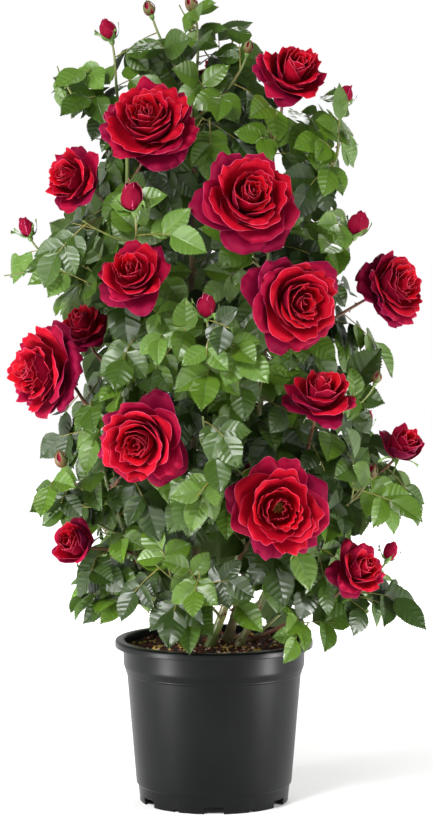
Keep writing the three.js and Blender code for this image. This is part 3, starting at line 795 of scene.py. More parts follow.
# The crown's half depth, which narrows to its top depth above the height where it tapers, the
# height of its highest leaves, and that of the lowest on the left, on the right and over the pot
CROWN = {
    "half_depth": 262, "top_depth": 90, "taper_from": 960,
    "top": 1128, "hem": (244, 196), "over_pot": 276,
}  # fmt: skip
FRONT = np.array([0.0, -1.0, 0.0])
for name, (path, radius, *_) in canes.items():
    add_rods(path.at(np.linspace(0, 1, 25)), 0.8 * radius, name)
for name, (path, radius) in stems.items():
    add_rods(path.at(np.linspace(0, 1, 13)), radius, name)
# A bloom is kept clear round itself and, where it faces the front, as far as the crown reaches
for name, (tip, faces, width, _) in blooms.items():
    middle = tip + HEART_BACK * width * faces
    around = name + "_bloom"
    add_rods([tip + faces * 0.1 * width, middle + faces * 0.9 * width], 0.5 * width, around)
    if faces[1] < 0:
        clear_to = max(1.2 * width, middle[1] + CROWN["half_depth"] - 60)
        add_rods([middle, middle + FRONT * clear_to], 0.47 * width, around)
for name, (tip, heading, size) in buds.items():
    add_rods([tip, tip + heading * size], 0.4 * size, name + "_bud")
rods = tuple(np.array(values) for values in (rod_starts, rod_ends, rod_radii, rod_owners))
print("rods:", len(rod_radii))


def gaps_to(places, rods):
    """How far each place is from the nearest rod."""
    starts, ends, radii = rods
    along = ends - starts
    reach = places[:, None] - starts[None]
    share = np.sum(reach * along, -1) / np.maximum(np.sum(along * along, -1), 1e-9)
    offset = reach - np.clip(share, 0, 1)[..., None] * along
    return np.min(np.linalg.norm(offset, axis=-1) - radii, axis=1)


# %% The crown's space
# How far the crown reaches to the left and to the right at each height
REACH_LEFT = [
    (206, 150), (244, 180), (262, 196), (285, 214), (322, 214), (340, 190), (380, 200),
    (392, 280), (405, 292), (449, 292), (460, 224), (488, 224), (496, 279), (540, 279),
    (556, 230), (670, 225), (723, 234), (737, 297), (772, 297), (785, 240), (831, 240),
    (845, 215), (915, 172), (955, 180), (962, 225), (985, 232), (1000, 252), (1035, 252),
    (1045, 154), (1076, 135), (1083, 66), (1128, 55),
]  # fmt: skip
REACH_RIGHT = [
    (184, 150), (196, 165), (252, 170), (262, 297), (314, 297), (326, 225), (389, 225),
    (400, 300), (449, 300), (460, 262), (520, 262), (532, 240), (572, 240), (586, 274),
    (660, 274), (672, 205), (720, 223), (775, 223), (790, 190), (872, 190), (885, 178),
    (900, 222), (955, 222), (965, 190), (1000, 196), (1026, 168), (1042, 75), (1128, 60),
]  # fmt: skip
RIM_RADIUS = 140


def inside_crown(places):
    """Which places lie in the crown, and off the pot's rim."""
    x, y, z = places.T
    hem = np.where(x < 0, *CROWN["hem"])
    floor_at = np.where(np.hypot(x, y) < RIM_RADIUS + 20, CROWN["over_pot"], hem)
    left, right = np.interp(z, *zip(*REACH_LEFT)), np.interp(z, *zip(*REACH_RIGHT))
    heights = (CROWN["taper_from"], CROWN["top"])
    deep = np.interp(z, heights, (CROWN["half_depth"], CROWN["top_depth"]))
    wide = (x > -left) & (x < right) & (np.abs(y) < deep)
    return wide & (z < CROWN["top"]) & (z > floor_at)


# %% A stream of random numbers
class Stream:
    """A repeatable stream of random numbers, so that every run grows the same bush."""

    def __init__(self, seed):
        self.state = seed

    def between(self, low, high):
        self.state = (self.state * 16807) % 2147483647
        return low + (high - low) * self.state / 2147483647


draw = Stream(4718)


def turned_about(vector, axis, angle):
    """A vector turned about an axis."""
    cosine, sine = math.cos(angle), math.sin(angle)
    return vector * cosine + np.cross(axis, vector) * sine + axis * (axis @ vector) * (1 - cosine)


# %% One compound leaf
LEAFLET = {"length": 60, "width": 44}
STALK = 62  # from the stem to the end leaflet
PAIRS = [(0.42, 0.76), (0.76, 0.9)]  # share of the stalk, size of the leaflets there
SAG = (0.1, 0.45)  # how far a stalk hangs
NOD = (0.1, 0.55)  # how far a leaflet hangs
TILT = 0.22  # how far a leaflet turns away from its leaf's face
PAIR_AHEAD, PAIR_ASIDE = 0.5, 0.87  # the way that the leaflets of a pair point


def plan_leaf(origin, heading, facing, size):
    """Lays out a leaf: the path of its stalk, and each leaflet's base, direction and length."""
    length = STALK * size
    sag = draw.between(*SAG)
    end = origin + heading * length - UP * sag * length * 0.6
    stalk = Path(origin, origin + heading * 0.55 * length, end)
    leaflets = []
    for share, scale in PAIRS + [(1.0, 1.0)]:
        base, along = stalk.at(share), stalk.tangent(share)
        normal = squared(facing, along)
        aside = np.cross(normal, along)
        for hand in (-1, 1) if share < 1 else (0,):
            ahead = along
            if hand:
                ahead = unit(along * PAIR_AHEAD + aside * hand * PAIR_ASIDE)
            ahead = unit(ahead - UP * draw.between(*NOD))
            tilt = np.array([draw.between(-TILT, TILT) for _ in range(3)])
            face = squared(facing + tilt, ahead)
            leaflets.append((base, ahead, face, LEAFLET["length"] * size * scale))
    return stalk, leaflets


# Shares of a leaflet's length and half width where it is tested against what is around it
SPOTS = [(0.3, 0), (0.6, 0), (0.95, 0), (0.42, 0.9), (0.42, -0.9), (0.72, 0.55), (0.72, -0.55)]


def leaflet_places(leaflet):
    """The tested places on a leaflet."""
    base, ahead, face, length = leaflet
    half = 0.5 * LEAFLET["width"] / LEAFLET["length"] * length
    aside = np.cross(face, ahead)
    return np.array([base + ahead * length * s + aside * half * w for s, w in SPOTS])


# %% Room for leaves and twigs
LEAFLET_GAP = 8  # between the tested places of two leaves
LEAF_ROOM, TWIG_ROOM = 2.5, 3  # clear of the wood and the blooms
NEIGHBOURS = 200  # leaves further away than this can't touch
leaf_places = np.zeros((0, 3))  # the tested places of all the leaves so far


def fits(places, close_rods, room):
    """Whether places lie inside the crown and clear of the rods."""
    return inside_crown(places).all() and gaps_to(places, close_rods).min() >= room


def fitting_leaflets(leaflets, origin, close_rods):
    """The leaflets of a leaf that have room."""
    others = leaf_places[np.linalg.norm(leaf_places - origin, axis=1) < NEIGHBOURS]
    fitting = []
    for leaflet in leaflets:
        places = leaflet_places(leaflet)
        if not fits(places, close_rods, LEAF_ROOM):
            continue
        away = np.linalg.norm(places[:, None] - others[None], axis=-1)
        if not others.size or away.min() >= LEAFLET_GAP:
            fitting.append(leaflet)
    return fitting


# %% Age of a leaf
# The highest draw for each age. Tips are younger, and leaves near the crown's axis draw older,
# darker tints: partly as older leaves, and partly as painted shade for the inside of the crown.
AGES = [("young", -0.04), ("fresh", 0.08), ("grown", 0.43), ("old", 0.71), ("deep", 1.01)]
SUNLIT_RADIUS = 170  # leaves nearer to the axis than this are shaded and darker
TIP_YOUTH, PAINTED_SHADE_SHIFT = 0.12, 0.45


def age_at(origin, t):
    """Draws the age of a leaf at a place, which is at share t of its stem."""
    # Painted shade: from one at the axis to none at the sunlit radius, it moves the draw to darker
    # tints.
    painted_shade = 1 - min(math.hypot(*origin[:2]) / SUNLIT_RADIUS, 1)
    luck = min(draw.between(0, 1) - TIP_YOUTH * t**3 + PAINTED_SHADE_SHIFT * painted_shade, 1)
    return next(age for age, most in AGES if luck < most)


# %% The rule of growth
LEAF_SPACING = 21
TWIG_EVERY = 5
TRIES, TURN_PER_TRY = 9, 73  # a leaf or a twig without room is tried again, turned about its stem
GOLDEN_ANGLE = 137.5
LEAST_LEAFLETS = 3  # a leaf with fewer leaflets in place is left out
BACK_FROM = 40  # leaves behind this depth turn their faces to the back
CANE_BARE = 0.22  # the share of a cane that carries no leaves
grown_leaves = []  # stalk path, leaflets that fit, and age
grown_twigs = []


def grow(path, order, owner, first=1):
    """Grows leaves along a stem, and side twigs with leaves of their own."""
    global leaf_places
    count = max(3, round(path.length / LEAF_SPACING))
    reach = 0.5 * path.length + 220
    near = (rods[3] != owner) & (np.linalg.norm(rods[0] - path.at(0.5), axis=1) < reach)
    close_rods = tuple(values[near] for values in rods[:3])
    for node in range(first, count + 1):
        t = min((node - 0.3) / count, 0.97)
        origin, tangent = path.at(t), path.tangent(t)
        outward, aside = outward_at(origin), squared(FIRST_SIDE, tangent)
        start = node * GOLDEN_ANGLE + draw.between(-20, 20)
        size = draw.between(0.84, 1.14) * (1 - 0.2 * t)
        tilt = np.array([draw.between(-wide, wide) for wide in (0.3, 0.3, 0.2)])
        light = FRONT if origin[1] < BACK_FROM else -FRONT
        facing = UP * 0.5 + outward * 0.62 + light * 0.5 + tilt
        twig_here = order == 0 and node % TWIG_EVERY == 1
        best = None
        for attempt in range(TRIES):
            turn = math.radians(start + attempt * TURN_PER_TRY)
            around = turned_about(aside, tangent, turn)
            heading = unit(tangent * 0.45 + around * 0.85 + outward * 0.3)
            if twig_here:
                bend = origin + heading * 0.24 * path.length - UP * 5
                twig = Path(origin, bend, origin + heading * 0.46 * path.length + UP * 8)
                if fits(twig.at(np.linspace(0.1, 1, 10)), close_rods, TWIG_ROOM):
                    grown_twigs.append(twig)
                    grow(twig, 1, owner)
                    break
                continue
            stalk, leaflets = plan_leaf(origin, unit(heading - UP * 0.3), facing, size)
            fitting = fitting_leaflets(leaflets, origin, close_rods)
            if best is None or len(fitting) > len(best[1]):
                best = (stalk, fitting)
            if len(fitting) == len(leaflets):
                break
        if best and len(best[1]) >= LEAST_LEAFLETS:
            grown_leaves.append((*best, age_at(origin, t)))
            leaf_places = np.concatenate([leaf_places, *map(leaflet_places, best[1])])


for name in SHOOTS:
    grow(stems[name][0], 0, name)
for name in ROSES:
    grow(stems[name][0], 1, name)
for name, (path, *_) in canes.items():
    grow(path, 1, name, first=round(CANE_BARE * path.length / LEAF_SPACING))
print("twigs:", len(grown_twigs), "leaves:", len(grown_leaves))
print("leaflets:", sum(len(leaflets) for _, leaflets, _ in grown_leaves))

# %% [markdown]
# ## Stems, twigs and leaf stalks
#
# Thin round stems need few faces. A curve with a round bevel and a radius at each point gives
# all of them at once, and it is made a mesh at the end. The sun reddens the flower stalks, shoots
# and twigs stay green, and leaf stalks are olive.


# %% Thin stems
def thin_stems(name, groups, material, points):
    """Round tapering stems along paths, from one bevelled curve. A group is path, start, end."""
    curve = bpy.data.curves.new(name, "CURVE")
    curve.dimensions = "3D"
    curve.bevel_depth = MM
    curve.bevel_resolution = 1
    curve.use_fill_caps = True
    for path, thick, thin in groups:
        spline = curve.splines.new("POLY")
        spline.points.add(points - 1)
        shares = np.linspace(0, 1, points)
        places = np.concatenate([path.at(shares) * MM, np.ones((points, 1))], 1)
        spline.points.foreach_set("co", places.ravel())
        spline.points.foreach_set("radius", thick + (thin - thick) * shares)
    holder = bpy.data.objects.new(name, curve)
    scene.collection.objects.link(holder)
    bpy.context.view_layer.update()
    seen = holder.evaluated_get(bpy.context.evaluated_depsgraph_get())
    mesh = bpy.data.meshes.new_from_object(seen)
    mesh.name = name
    bpy.data.objects.remove(holder)
    bm = bmesh.new()
    bm.from_mesh(mesh)
    bmesh.ops.remove_doubles(bm, verts=bm.verts, dist=1e-6)
    bmesh.ops.recalc_face_normals(bm, faces=bm.faces)
    bm.to_mesh(mesh)
    bm.free()
    mesh.materials.clear()
    piece = shade(put_in_scene(name, mesh, [material]), SMALL_CREASE)
    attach(piece, "root")
    print(name, len(piece.data.polygons), "faces")
    return piece


# Each group's radii at the start and at the end
stalk_groups = [(stems[name][0], 2.7, 2.0) for name in ROSES]
shoot_groups = [(stems[name][0], 2.5, 1.5) for name in SHOOTS]
twig_groups = [(twig, 1.7, 1.0) for twig in grown_twigs]
leaf_groups = [(stalk, 0.95, 0.6) for stalk, _, _ in grown_leaves]
flower_stalks = thin_stems("flower_stalks", stalk_groups, red_stem, 16)
shoot_stems = thin_stems("shoot_stems", shoot_groups, green_bark, 16)
side_twigs = thin_stems("side_twigs", twig_groups, green_bark, 8)
leaf_stalks = thin_stems("leaf_stalks", leaf_groups, soft_stem, 6)
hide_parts(*ROSES)
for piece in (shoot_stems, side_twigs, leaf_stalks):
    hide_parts(*SHOOTS)

# %% [markdown]
# ## Leaflets
#
# A leaflet is a thin oval blade with a saw-toothed edge and a long point. Side veins sink into
# the upper face and the tissue between them swells, so light falls on it in soft chevrons. The
# blade is two grids that share one outline, an upper one with a sunken rib down its middle and a
# plain lower one. Every leaflet then gets its own fold along the rib and its own droop.

# %% The blade
OUTLINE_Y = [0, 0.04, 0.15, 0.28, 0.42, 0.56, 0.70, 0.82, 0.90, 0.96, 1]
OUTLINE_X = [0, 0.34, 0.74, 0.95, 1.0, 0.92, 0.72, 0.45, 0.23, 0.09, 0]
ROWS = 12
SLANT = 0.30  # how far forward a side vein runs from the rib to the edge
TOOTH_OUT, TOOTH_AHEAD = 0.012, 0.010
CUSHION, VEIN = 0.014, -0.006  # heights of the swollen tissue and of the veins between
UPPER_BODY, LOWER_BODY, RIB_GROOVE = 0.002, -0.026, -0.008
RIB_SIDE, MARGIN = 0.2, 0.9  # the cushions lie between these columns


def blade_point(column, row, tooth, upper):
    """Where a grid point lies on a blade of length one: column from -1 to 1, row from 0 to ROWS."""
    side = abs(column)
    y = row / ROWS
    y = min(y**0.9 + SLANT * side * (1 - y) * min(1, 6 * y), 1.0)
    half = 0.5 * LEAFLET["width"] / LEAFLET["length"] * np.interp(y, OUTLINE_Y, OUTLINE_X)
    if side == 1:
        half += TOOTH_OUT * tooth
        y += TOOTH_AHEAD * tooth
    quilt = 0.0
    if upper and RIB_SIDE < side < MARGIN and 0 < row < ROWS:
        quilt = CUSHION if int(round(row)) % 2 else VEIN
    body = 0 if side == 1 or row in (0, ROWS) else (UPPER_BODY if upper else LOWER_BODY)
    if upper and 0 < side < RIB_SIDE:
        body = RIB_GROOVE
    return (math.copysign(half * side, column) if side else 0.0, y, quilt + body)


def blade_sheet(columns, upper):
    """One face of the blade: a grid with teeth cut into both sides."""
    bm = bmesh.new()
    steps = len(columns) - 1
    bmesh.ops.create_grid(bm, x_segments=steps, y_segments=ROWS, size=1)
    sides = [edge for edge in bm.edges if all(abs(v.co.x) > 0.999 for v in edge.verts)]
    bmesh.ops.subdivide_edges(bm, edges=sides, cuts=1)
    for face in bm.faces:
        # The rib's faces take the rib tint, which on older leaves is painted shade in the groove.
        rib = upper and abs(face.calc_center_median().x) < 1 / steps
        face.material_index = 2 if rib else (0 if upper else 1)
    for vertex in bm.verts:
        row = (vertex.co.y + 1) / 2 * ROWS
        column = columns[round((vertex.co.x + 1) / 2 * steps)]
        tooth = 1 if abs(row - round(row)) > 0.2 else -1
        vertex.co = blade_point(column, row, tooth, upper)
    if not upper:
        bmesh.ops.reverse_faces(bm, faces=bm.faces)
    sheet = bpy.data.meshes.new("blade_sheet")
    bm.to_mesh(sheet)
    bm.free()
    return sheet


UPPER_COLUMNS, LOWER_COLUMNS = [-1, -0.55, -0.035, 0.035, 0.55, 1], [-1, 0, 1]
bm = bmesh.new()
for sheet in (blade_sheet(UPPER_COLUMNS, True), blade_sheet(LOWER_COLUMNS, False)):
    bm.from_mesh(sheet)
    bpy.data.meshes.remove(sheet)
bmesh.ops.remove_doubles(bm, verts=bm.verts, dist=1e-4)
print("blade:", len(bm.faces), "faces, open edges:", sum(e.is_boundary for e in bm.edges))
blade = shape_of(bm)


# %% Bending and placing the leaflets
FOLD, DROOP = (-4, 22), (6, 42)  # in degrees


def placed_leaflets(leaflets, dice):
    """Every leaflet's points: folded along its rib, bent down towards its tip, and set in place."""
    base, ahead, face = (np.array([leaf[i] for leaf in leaflets]) for i in range(3))
    length = np.array([leaf[3] for leaf in leaflets])[:, None, None]
    aside = np.cross(ahead, face)
    count = len(leaflets)
    fold = np.radians(dice.uniform(*FOLD, (count, 1)))
    droop = np.radians(dice.uniform(*DROOP, (count, 1)))
    wave = dice.uniform(-0.02, 0.02, (count, 1))
    x, y, z = (blade[0][None, :, i] for i in range(3))
    z = z + np.abs(x) * np.sin(fold) + wave * np.sin(9 * y + 6 * x)
    x = x * np.cos(fold) * dice.uniform(0.9, 1.1, (count, 1))
    bend = droop * y
    along = np.sin(bend) / droop + z * np.sin(bend)
    lift = -(1 - np.cos(bend)) / droop + z * np.cos(bend)
    local = np.stack([x, along, lift], -1) * length
    return np.einsum("nvk,nkd->nvd", local, np.stack([aside, ahead, face], 1)) + base[:, None]


# %% Leaves of each age
LEAF_CREASE = 13  # in degrees: flatter than the cushions' sides, so that these stay crisp
dice = np.random.RandomState(23)
for age, finishes in leaf_finishes.items():
    leaflets = [leaf for _, group, how_old in grown_leaves if how_old == age for leaf in group]
    leaves = joined_copies(f"leaves_{age}", blade, placed_leaflets(leaflets, dice), finishes)
    shade(leaves, LEAF_CREASE)
    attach(leaves, "root")
    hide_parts(*SHOOTS)
    print(f"leaves_{age}:", len(leaflets), "leaflets")

# %% [markdown]
# ## Blooms
#
# A garden rose opens from a tight spiral. The heart's petals are small and wrap round each
# other, the next ones stand as cups, and the outer guard petals lie open with their lips rolled
# back. Each petal is one thin grid with a face, a back and a pale edge, which is a painted
# highlight where the rim catches the light. Its middle line is drawn by an angle that changes
# from base to lip, and its sides wrap round the bloom's axis. Petals turn by the golden angle from
# one to the next, which is how a rose packs them.

# %% Thin sheets
def sheet_shape(us, vs, rim):
    """A grid with a face sheet and a back sheet that share their outline.

    It returns the shape, the column and row of each of its points, and which lie on the back.
    """
    bm = bmesh.new()
    columns, rows = len(us) - 1, len(vs) - 1
    bmesh.ops.create_grid(bm, x_segments=columns, y_segments=rows, size=1)
    for face in bm.faces:
        middle = face.calc_center_median()
        # Faces along the rim take the edge slot, whose pale tint is a painted highlight.
        painted_highlight_rim = rim and (abs(middle.x) > 1 - 2 / columns or middle.y > 1 - 2 / rows)
        face.material_index = 2 if painted_highlight_rim else 0
    copy = bmesh.ops.duplicate(bm, geom=list(bm.faces))["geom"]
    back = [item for item in copy if isinstance(item, bmesh.types.BMFace)]
    for face in back:
        face.material_index = 2 if face.material_index == 2 else 1
    bmesh.ops.reverse_faces(bm, faces=back)
    for vertex in {vertex for face in back for vertex in face.verts}:
        if not vertex.is_boundary:
            vertex.co.z = -1
    bmesh.ops.remove_doubles(bm, verts=bm.verts, dist=1e-4)
    print("sheet:", len(bm.faces), "faces, open edges:", sum(e.is_boundary for e in bm.edges))
    shape = shape_of(bm)
    column = np.round((shape[0][:, 0] + 1) / 2 * columns).astype(int)
    row = np.round((shape[0][:, 1] + 1) / 2 * rows).astype(int)
    return {
        "shape": shape, "u": np.array(us), "v": np.array(vs),
        "column": column, "row": row, "back": shape[0][:, 2] < -0.5,
    }  # fmt: skip


# Columns from side to side and rows from base to lip
HALF_COLUMNS = [0.08, 0.24, 0.4, 0.56, 0.72, 0.86, 0.97, 1]
PETAL_COLUMNS = [-u for u in reversed(HALF_COLUMNS)] + HALF_COLUMNS
PETAL_ROWS = [0, 0.28, 0.5, 0.66, 0.78, 0.86, 0.92, 0.96, 0.986, 1]
SEPAL_COLUMNS = [-1, -0.35, 0.35, 1]
SEPAL_ROWS = [0, 0.12, 0.25, 0.38, 0.5, 0.6, 0.7, 0.85, 1]
petal = sheet_shape(PETAL_COLUMNS, PETAL_ROWS, rim=True)
sepal = sheet_shape(SEPAL_COLUMNS, SEPAL_ROWS, rim=False)


# %% Kinds of bloom
# Each list holds values from the heart (left) to the guard (right), at the shares in "at": the
# angle of a petal from the axis at its base and under its lip, how far its lip rolls over, its
# length and half width in bloom radii, the radius and height where it starts, how much its
# middle stands out as a point, and how far its shoulders fall short.
KINDS = {
    "full": {
        "petals": 40,
        "at": [0, 0.25, 0.5, 0.75, 1],
        "base": [18, 40, 60, 74, 80],
        "lip": [-14, -24, -16, 14, 70],
        "roll": [20, 55, 105, 150, 135],
        "length": [0.62, 0.80, 0.91, 0.95, 0.99],
        "half": [0.14, 0.26, 0.40, 0.50, 0.50],
        "from": [0.02, 0.05, 0.08, 0.10, 0.10],
        "rise": [0.20, 0.08, 0.02, -0.02, -0.04],
        "point": [0.00, 0.01, 0.01, 0.00, 0.00],
        "shoulder": [0.15, 0.22, 0.32, 0.38, 0.42],
    },
    "open": {
        "petals": 32,
        "at": [0, 0.25, 0.5, 0.75, 1],
        "base": [36, 54, 68, 76, 82],
        "lip": [-36, -24, 2, 40, 80],
        "roll": [40, 70, 90, 100, 70],
        "length": [0.46, 0.68, 0.86, 0.92, 0.95],
        "half": [0.14, 0.30, 0.42, 0.50, 0.52],
        "from": [0.12, 0.11, 0.10, 0.10, 0.10],
        "rise": [0.06, 0.04, 0.02, -0.02, -0.04],
        "point": [0.00, 0.01, 0.01, 0.00, 0.00],
        "shoulder": [0.20, 0.25, 0.35, 0.40, 0.45],
    },
    "tea": {
        "petals": 26,
        "at": [0, 0.25, 0.5, 0.75, 1],
        "base": [16, 34, 54, 70, 76],
        "lip": [-12, -26, -20, 14, 72],
        "roll": [15, 40, 95, 150, 130],
        "length": [0.85, 0.98, 1.02, 1.00, 0.98],
        "half": [0.16, 0.30, 0.46, 0.54, 0.54],
        "from": [0.02, 0.05, 0.08, 0.10, 0.10],
        "rise": [0.18, 0.08, 0.02, -0.02, -0.04],
        "point": [0.01, 0.01, 0.02, 0.04, 0.05],
        "shoulder": [0.20, 0.25, 0.38, 0.50, 0.55],
    },
    "half": {
        "petals": 18,
        "at": [0, 0.25, 0.5, 0.75, 1],
        "base": [18, 36, 50, 60, 66],
        "lip": [-8, -20, -24, -16, 26],
        "roll": [10, 20, 50, 100, 140],
        "length": [1.25, 1.35, 1.40, 1.40, 1.30],
        "half": [0.22, 0.42, 0.58, 0.70, 0.76],
        "from": [0.03, 0.06, 0.10, 0.12, 0.12],
        "rise": [0.10, 0.04, 0.00, -0.04, -0.06],
        "point": [0.01, 0.02, 0.02, 0.03, 0.04],
        "shoulder": [0.20, 0.25, 0.35, 0.45, 0.50],
    },
    "bud": {
        "petals": 8,
        "overlap": 0.10,
        "at": [0, 0.25, 0.5, 0.75, 1],
        "base": [20, 40, 54, 64, 66],
        "lip": [-14, -34, -52, -66, -68],
        "roll": [0, 4, 8, 12, 24],
        "length": [2.1, 2.25, 2.35, 2.4, 2.4],
        "half": [0.4, 0.6, 0.75, 0.85, 0.9],
        "from": [0.05, 0.12, 0.18, 0.22, 0.26],
        "rise": [0.1, 0.05, 0.0, -0.05, -0.1],
        "point": [0, 0, 0, 0.02, 0.04],
        "shoulder": [0.2, 0.3, 0.4, 0.55, 0.6],
    },
    "calyx": {  # the five sepals under an open bloom, in millimetres
        "petals": 5,
        "at": [0, 1],
        "base": [80, 80],
        "lip": [100, 112],
        "roll": [10, 40],
        "length": [34, 30],
        "half": [5.5, 5.0],
        "from": [3.5, 3.5],
        "rise": [-3.0, -3.0],
        "point": [0, 0],
        "shoulder": [0, 0],
    },
    "closed_calyx": {  # the five sepals that wrap an unripe bud, in bud radii
        "petals": 5,
        "at": [0, 1],
        "base": [52, 52],
        "lip": [-66, -62],
        "roll": [0, -6],
        "length": [2.7, 2.9],
        "half": [1.6, 1.5],
        "from": [0.36, 0.36],
        "rise": [-0.16, -0.16],
        "point": [0, 0],
        "shoulder": [0, 0],
    },
    "bud_calyx": {  # the five sepals that still hold a bud, in bud radii
        "petals": 5,
        "at": [0, 1],
        "base": [68, 68],
        "lip": [-24, 6],
        "roll": [20, 90],
        "length": [1.8, 2.1],
        "half": [0.60, 0.50],
        "from": [0.36, 0.36],
        "rise": [-0.16, -0.16],
        "point": [0, 0],
        "shoulder": [0, 0],
    },
}


# %% The measures of every petal
SEPALS_APART = 72  # in degrees; petals are the golden angle apart


def drawn_petals(kind, dice, leafy, loose):
    """Each petal's own measures, as arrays to use on grids; loose is how much chance they get."""
    plan = KINDS[kind]
    count = plan["petals"]
    share = (np.arange(count) + 0.5) / count
    soft = 0.0 if leafy else 1.0

    def spread(key, jitter=0.0):
        values = np.interp(share, plan["at"], plan[key])
        return values + loose * jitter * dice.uniform(-1, 1, count)

    def varied(key, less, more):
        return spread(key) * dice.uniform(1 - less * loose, 1 + more * loose, count)

    m = {"share": share, "base": spread("base", 7), "lip": spread("lip", 15)}
    m["roll"] = varied("roll", 0.4, 0.3)
    m["length"] = varied("length", 0.09, 0.05)
    m["half"] = varied("half", 0.12, 0.12)
    m["from"], m["rise"] = spread("from"), spread("rise")
    m["point"], m["shoulder"] = spread("point", 0.045), spread("shoulder", 0.08)
    apart = SEPALS_APART if leafy else GOLDEN_ANGLE
    m["bearing"] = np.radians(np.arange(count) * apart + 20 * loose * dice.uniform(-1, 1, count))
    m["lean"] = 0.13 * loose * dice.uniform(-1, 1, count) * m["length"]
    m["skew"] = 0.6 * loose * dice.uniform(-1, 1, count)
    m["wave"], m["waves"] = dice.uniform(0, 6.28, count), dice.uniform(3.0, 7.0, count)
    m["ruffle"] = dice.uniform(0.03, 0.095, count) * (0.35 + 0.65 * share) * soft
    arched = 0.0 if leafy or kind == "bud" else 1.0
    m["arch"] = dice.uniform(0.04, 0.2, count) * share**2 * arched
    hand = np.where(dice.uniform(size=count) < 0.5, -1, 1)
    m["spiral"] = plan.get("overlap", 0.02) * hand * soft
    return {key: values[:, None, None] for key, values in m.items()}


# %% The lines from base to lip
FINE = 61  # steps of each line
# Shares of its length after which a lip rolls: at the middle, and how much sooner at the sides
PETAL_ROLLS, PETAL_SIDES_SOONER = 0.76, 0.14
SEPAL_ROLLS = 0.42


def lines_to_lip(m, u, leafy):
    """The radius and height of each petal (first axis) along each of its columns (second)."""
    late = np.full(len(u), SEPAL_ROLLS) if leafy else PETAL_ROLLS - PETAL_SIDES_SOONER * u**2
    fine = np.linspace(0, 1, FINE)
    rolled = np.clip((fine - late[:, None]) / (1 - late[:, None]), 0, 1)
    rolled = rolled**2 * (3 - 2 * rolled)
    across = u[None, :, None]
    folded = (0.35 + 0.45 * m["share"]) * np.abs(across) ** 1.5
    curl = m["roll"] * (0.7 + folded + m["skew"] * across)
    angle = np.radians(m["base"] + (m["lip"] - m["base"]) * fine + curl * rolled)
    r = m["from"] + m["length"] * np.cumsum(np.sin(angle), -1) / FINE
    z = m["rise"] + m["length"] * np.cumsum(np.cos(angle), -1) / FINE
    return r, z


# %% One whorl of petals or sepals
PETAL_THICKNESS = 0.5
MOST_WRAP = 2.5  # the angle, in radians, that a petal's half width can span


def whorl(kind, radius, dice, sheet=petal, loose=1.0):
    """The points of every petal of a bloom that faces +Z, and the share of each petal."""
    leafy = sheet is sepal
    m = drawn_petals(kind, dice, leafy, loose)
    line_r, line_z = lines_to_lip(m, sheet["u"], leafy)

    # Axes of the arrays from here on: petal, row and column.
    u, v = sheet["u"][None, None, :], sheet["v"][None, :, None]
    lip = 1 - m["shoulder"] * np.abs(u) ** 2.3 + m["point"] * np.exp(-((u / 0.35) ** 2))
    spot = np.clip(v * lip, 0, 1.1) * (FINE - 1)
    low = np.clip(spot.astype(int), 0, FINE - 2)
    part = spot - low
    each, columns = np.ogrid[: len(line_r), : len(sheet["u"])]
    each, columns = each[:, None], columns[:, None]
    r = line_r[each, columns, low] * (1 - part) + line_r[each, columns, low + 1] * part
    z = line_z[each, columns, low] * (1 - part) + line_z[each, columns, low + 1] * part
    if leafy:
        width = m["half"] * np.where(v < 0.5, 1 - 1.6 * v, 0.2 * (1.5 - v))
    else:
        width = m["half"] * (0.28 + 0.72 * np.sin(np.pi / 2 * np.minimum(v / 0.68, 1)))
    least = 0.06 if radius > 1.5 else 1.0  # sepals measured in millimetres have radius 1
    wrap = np.minimum(width / np.maximum(r, least), MOST_WRAP)
    wavy = m["ruffle"] * np.sin(m["waves"] * u * 2 + m["wave"]) * v**4
    z = z + wavy + m["lean"] * u * v**2 - m["arch"] * (u * v) ** 2
    r = np.maximum(r + m["spiral"] * u + 0.5 * wavy, 0.2 * least)
    turn = m["bearing"] - u * wrap
    places = np.stack([r * np.cos(turn), r * np.sin(turn), z], -1) * radius
    normal = unit(np.cross(np.gradient(places, axis=2), np.gradient(places, axis=1)) + 1e-9)
    row, column = sheet["row"], sheet["column"]
    behind = np.where(sheet["back"], PETAL_THICKNESS, 0.0)[None, :, None]
    return places[:, row, column] - normal[:, row, column] * behind, m["share"][:, 0, 0]


def set_facing(points, place, faces):
    """Turns points that face +Z to face another way, and moves them to a place."""
    turn = np.array(Vector((0, 0, 1)).rotation_difference(Vector(faces)).to_matrix())
    return points @ turn.T + place


# %% Petals and sepals of all the blooms
# The shares of a bloom's petals, from the middle outwards, that each finish takes
PARTS = [("heart", 0, 0.4), ("cup", 0.4, 0.74), ("guard", 0.74, 0.88), ("outer", 0.88, 1.1)]
BLOOM_SPREAD = 1.05  # the guard petals lie a little wider than the plain bloom
petal_sets = {part: [] for part in petal_finishes}
open_sepals, closed_sepals = [], []
for index, (tip, faces, width, kind) in enumerate(blooms.values()):
    points, share = whorl(kind, BLOOM_SPREAD * width / 2, np.random.RandomState(100 + index))
    points = set_facing(points, tip, faces)
    for part, low, high in PARTS:
        petal_sets[part].append(points[(share >= low) & (share < high)])
    points, _ = whorl("calyx", 1, np.random.RandomState(200 + index), sepal)
    open_sepals.append(set_facing(points, tip, faces))
print("petals:", {part: sum(map(len, groups)) for part, groups in petal_sets.items()})

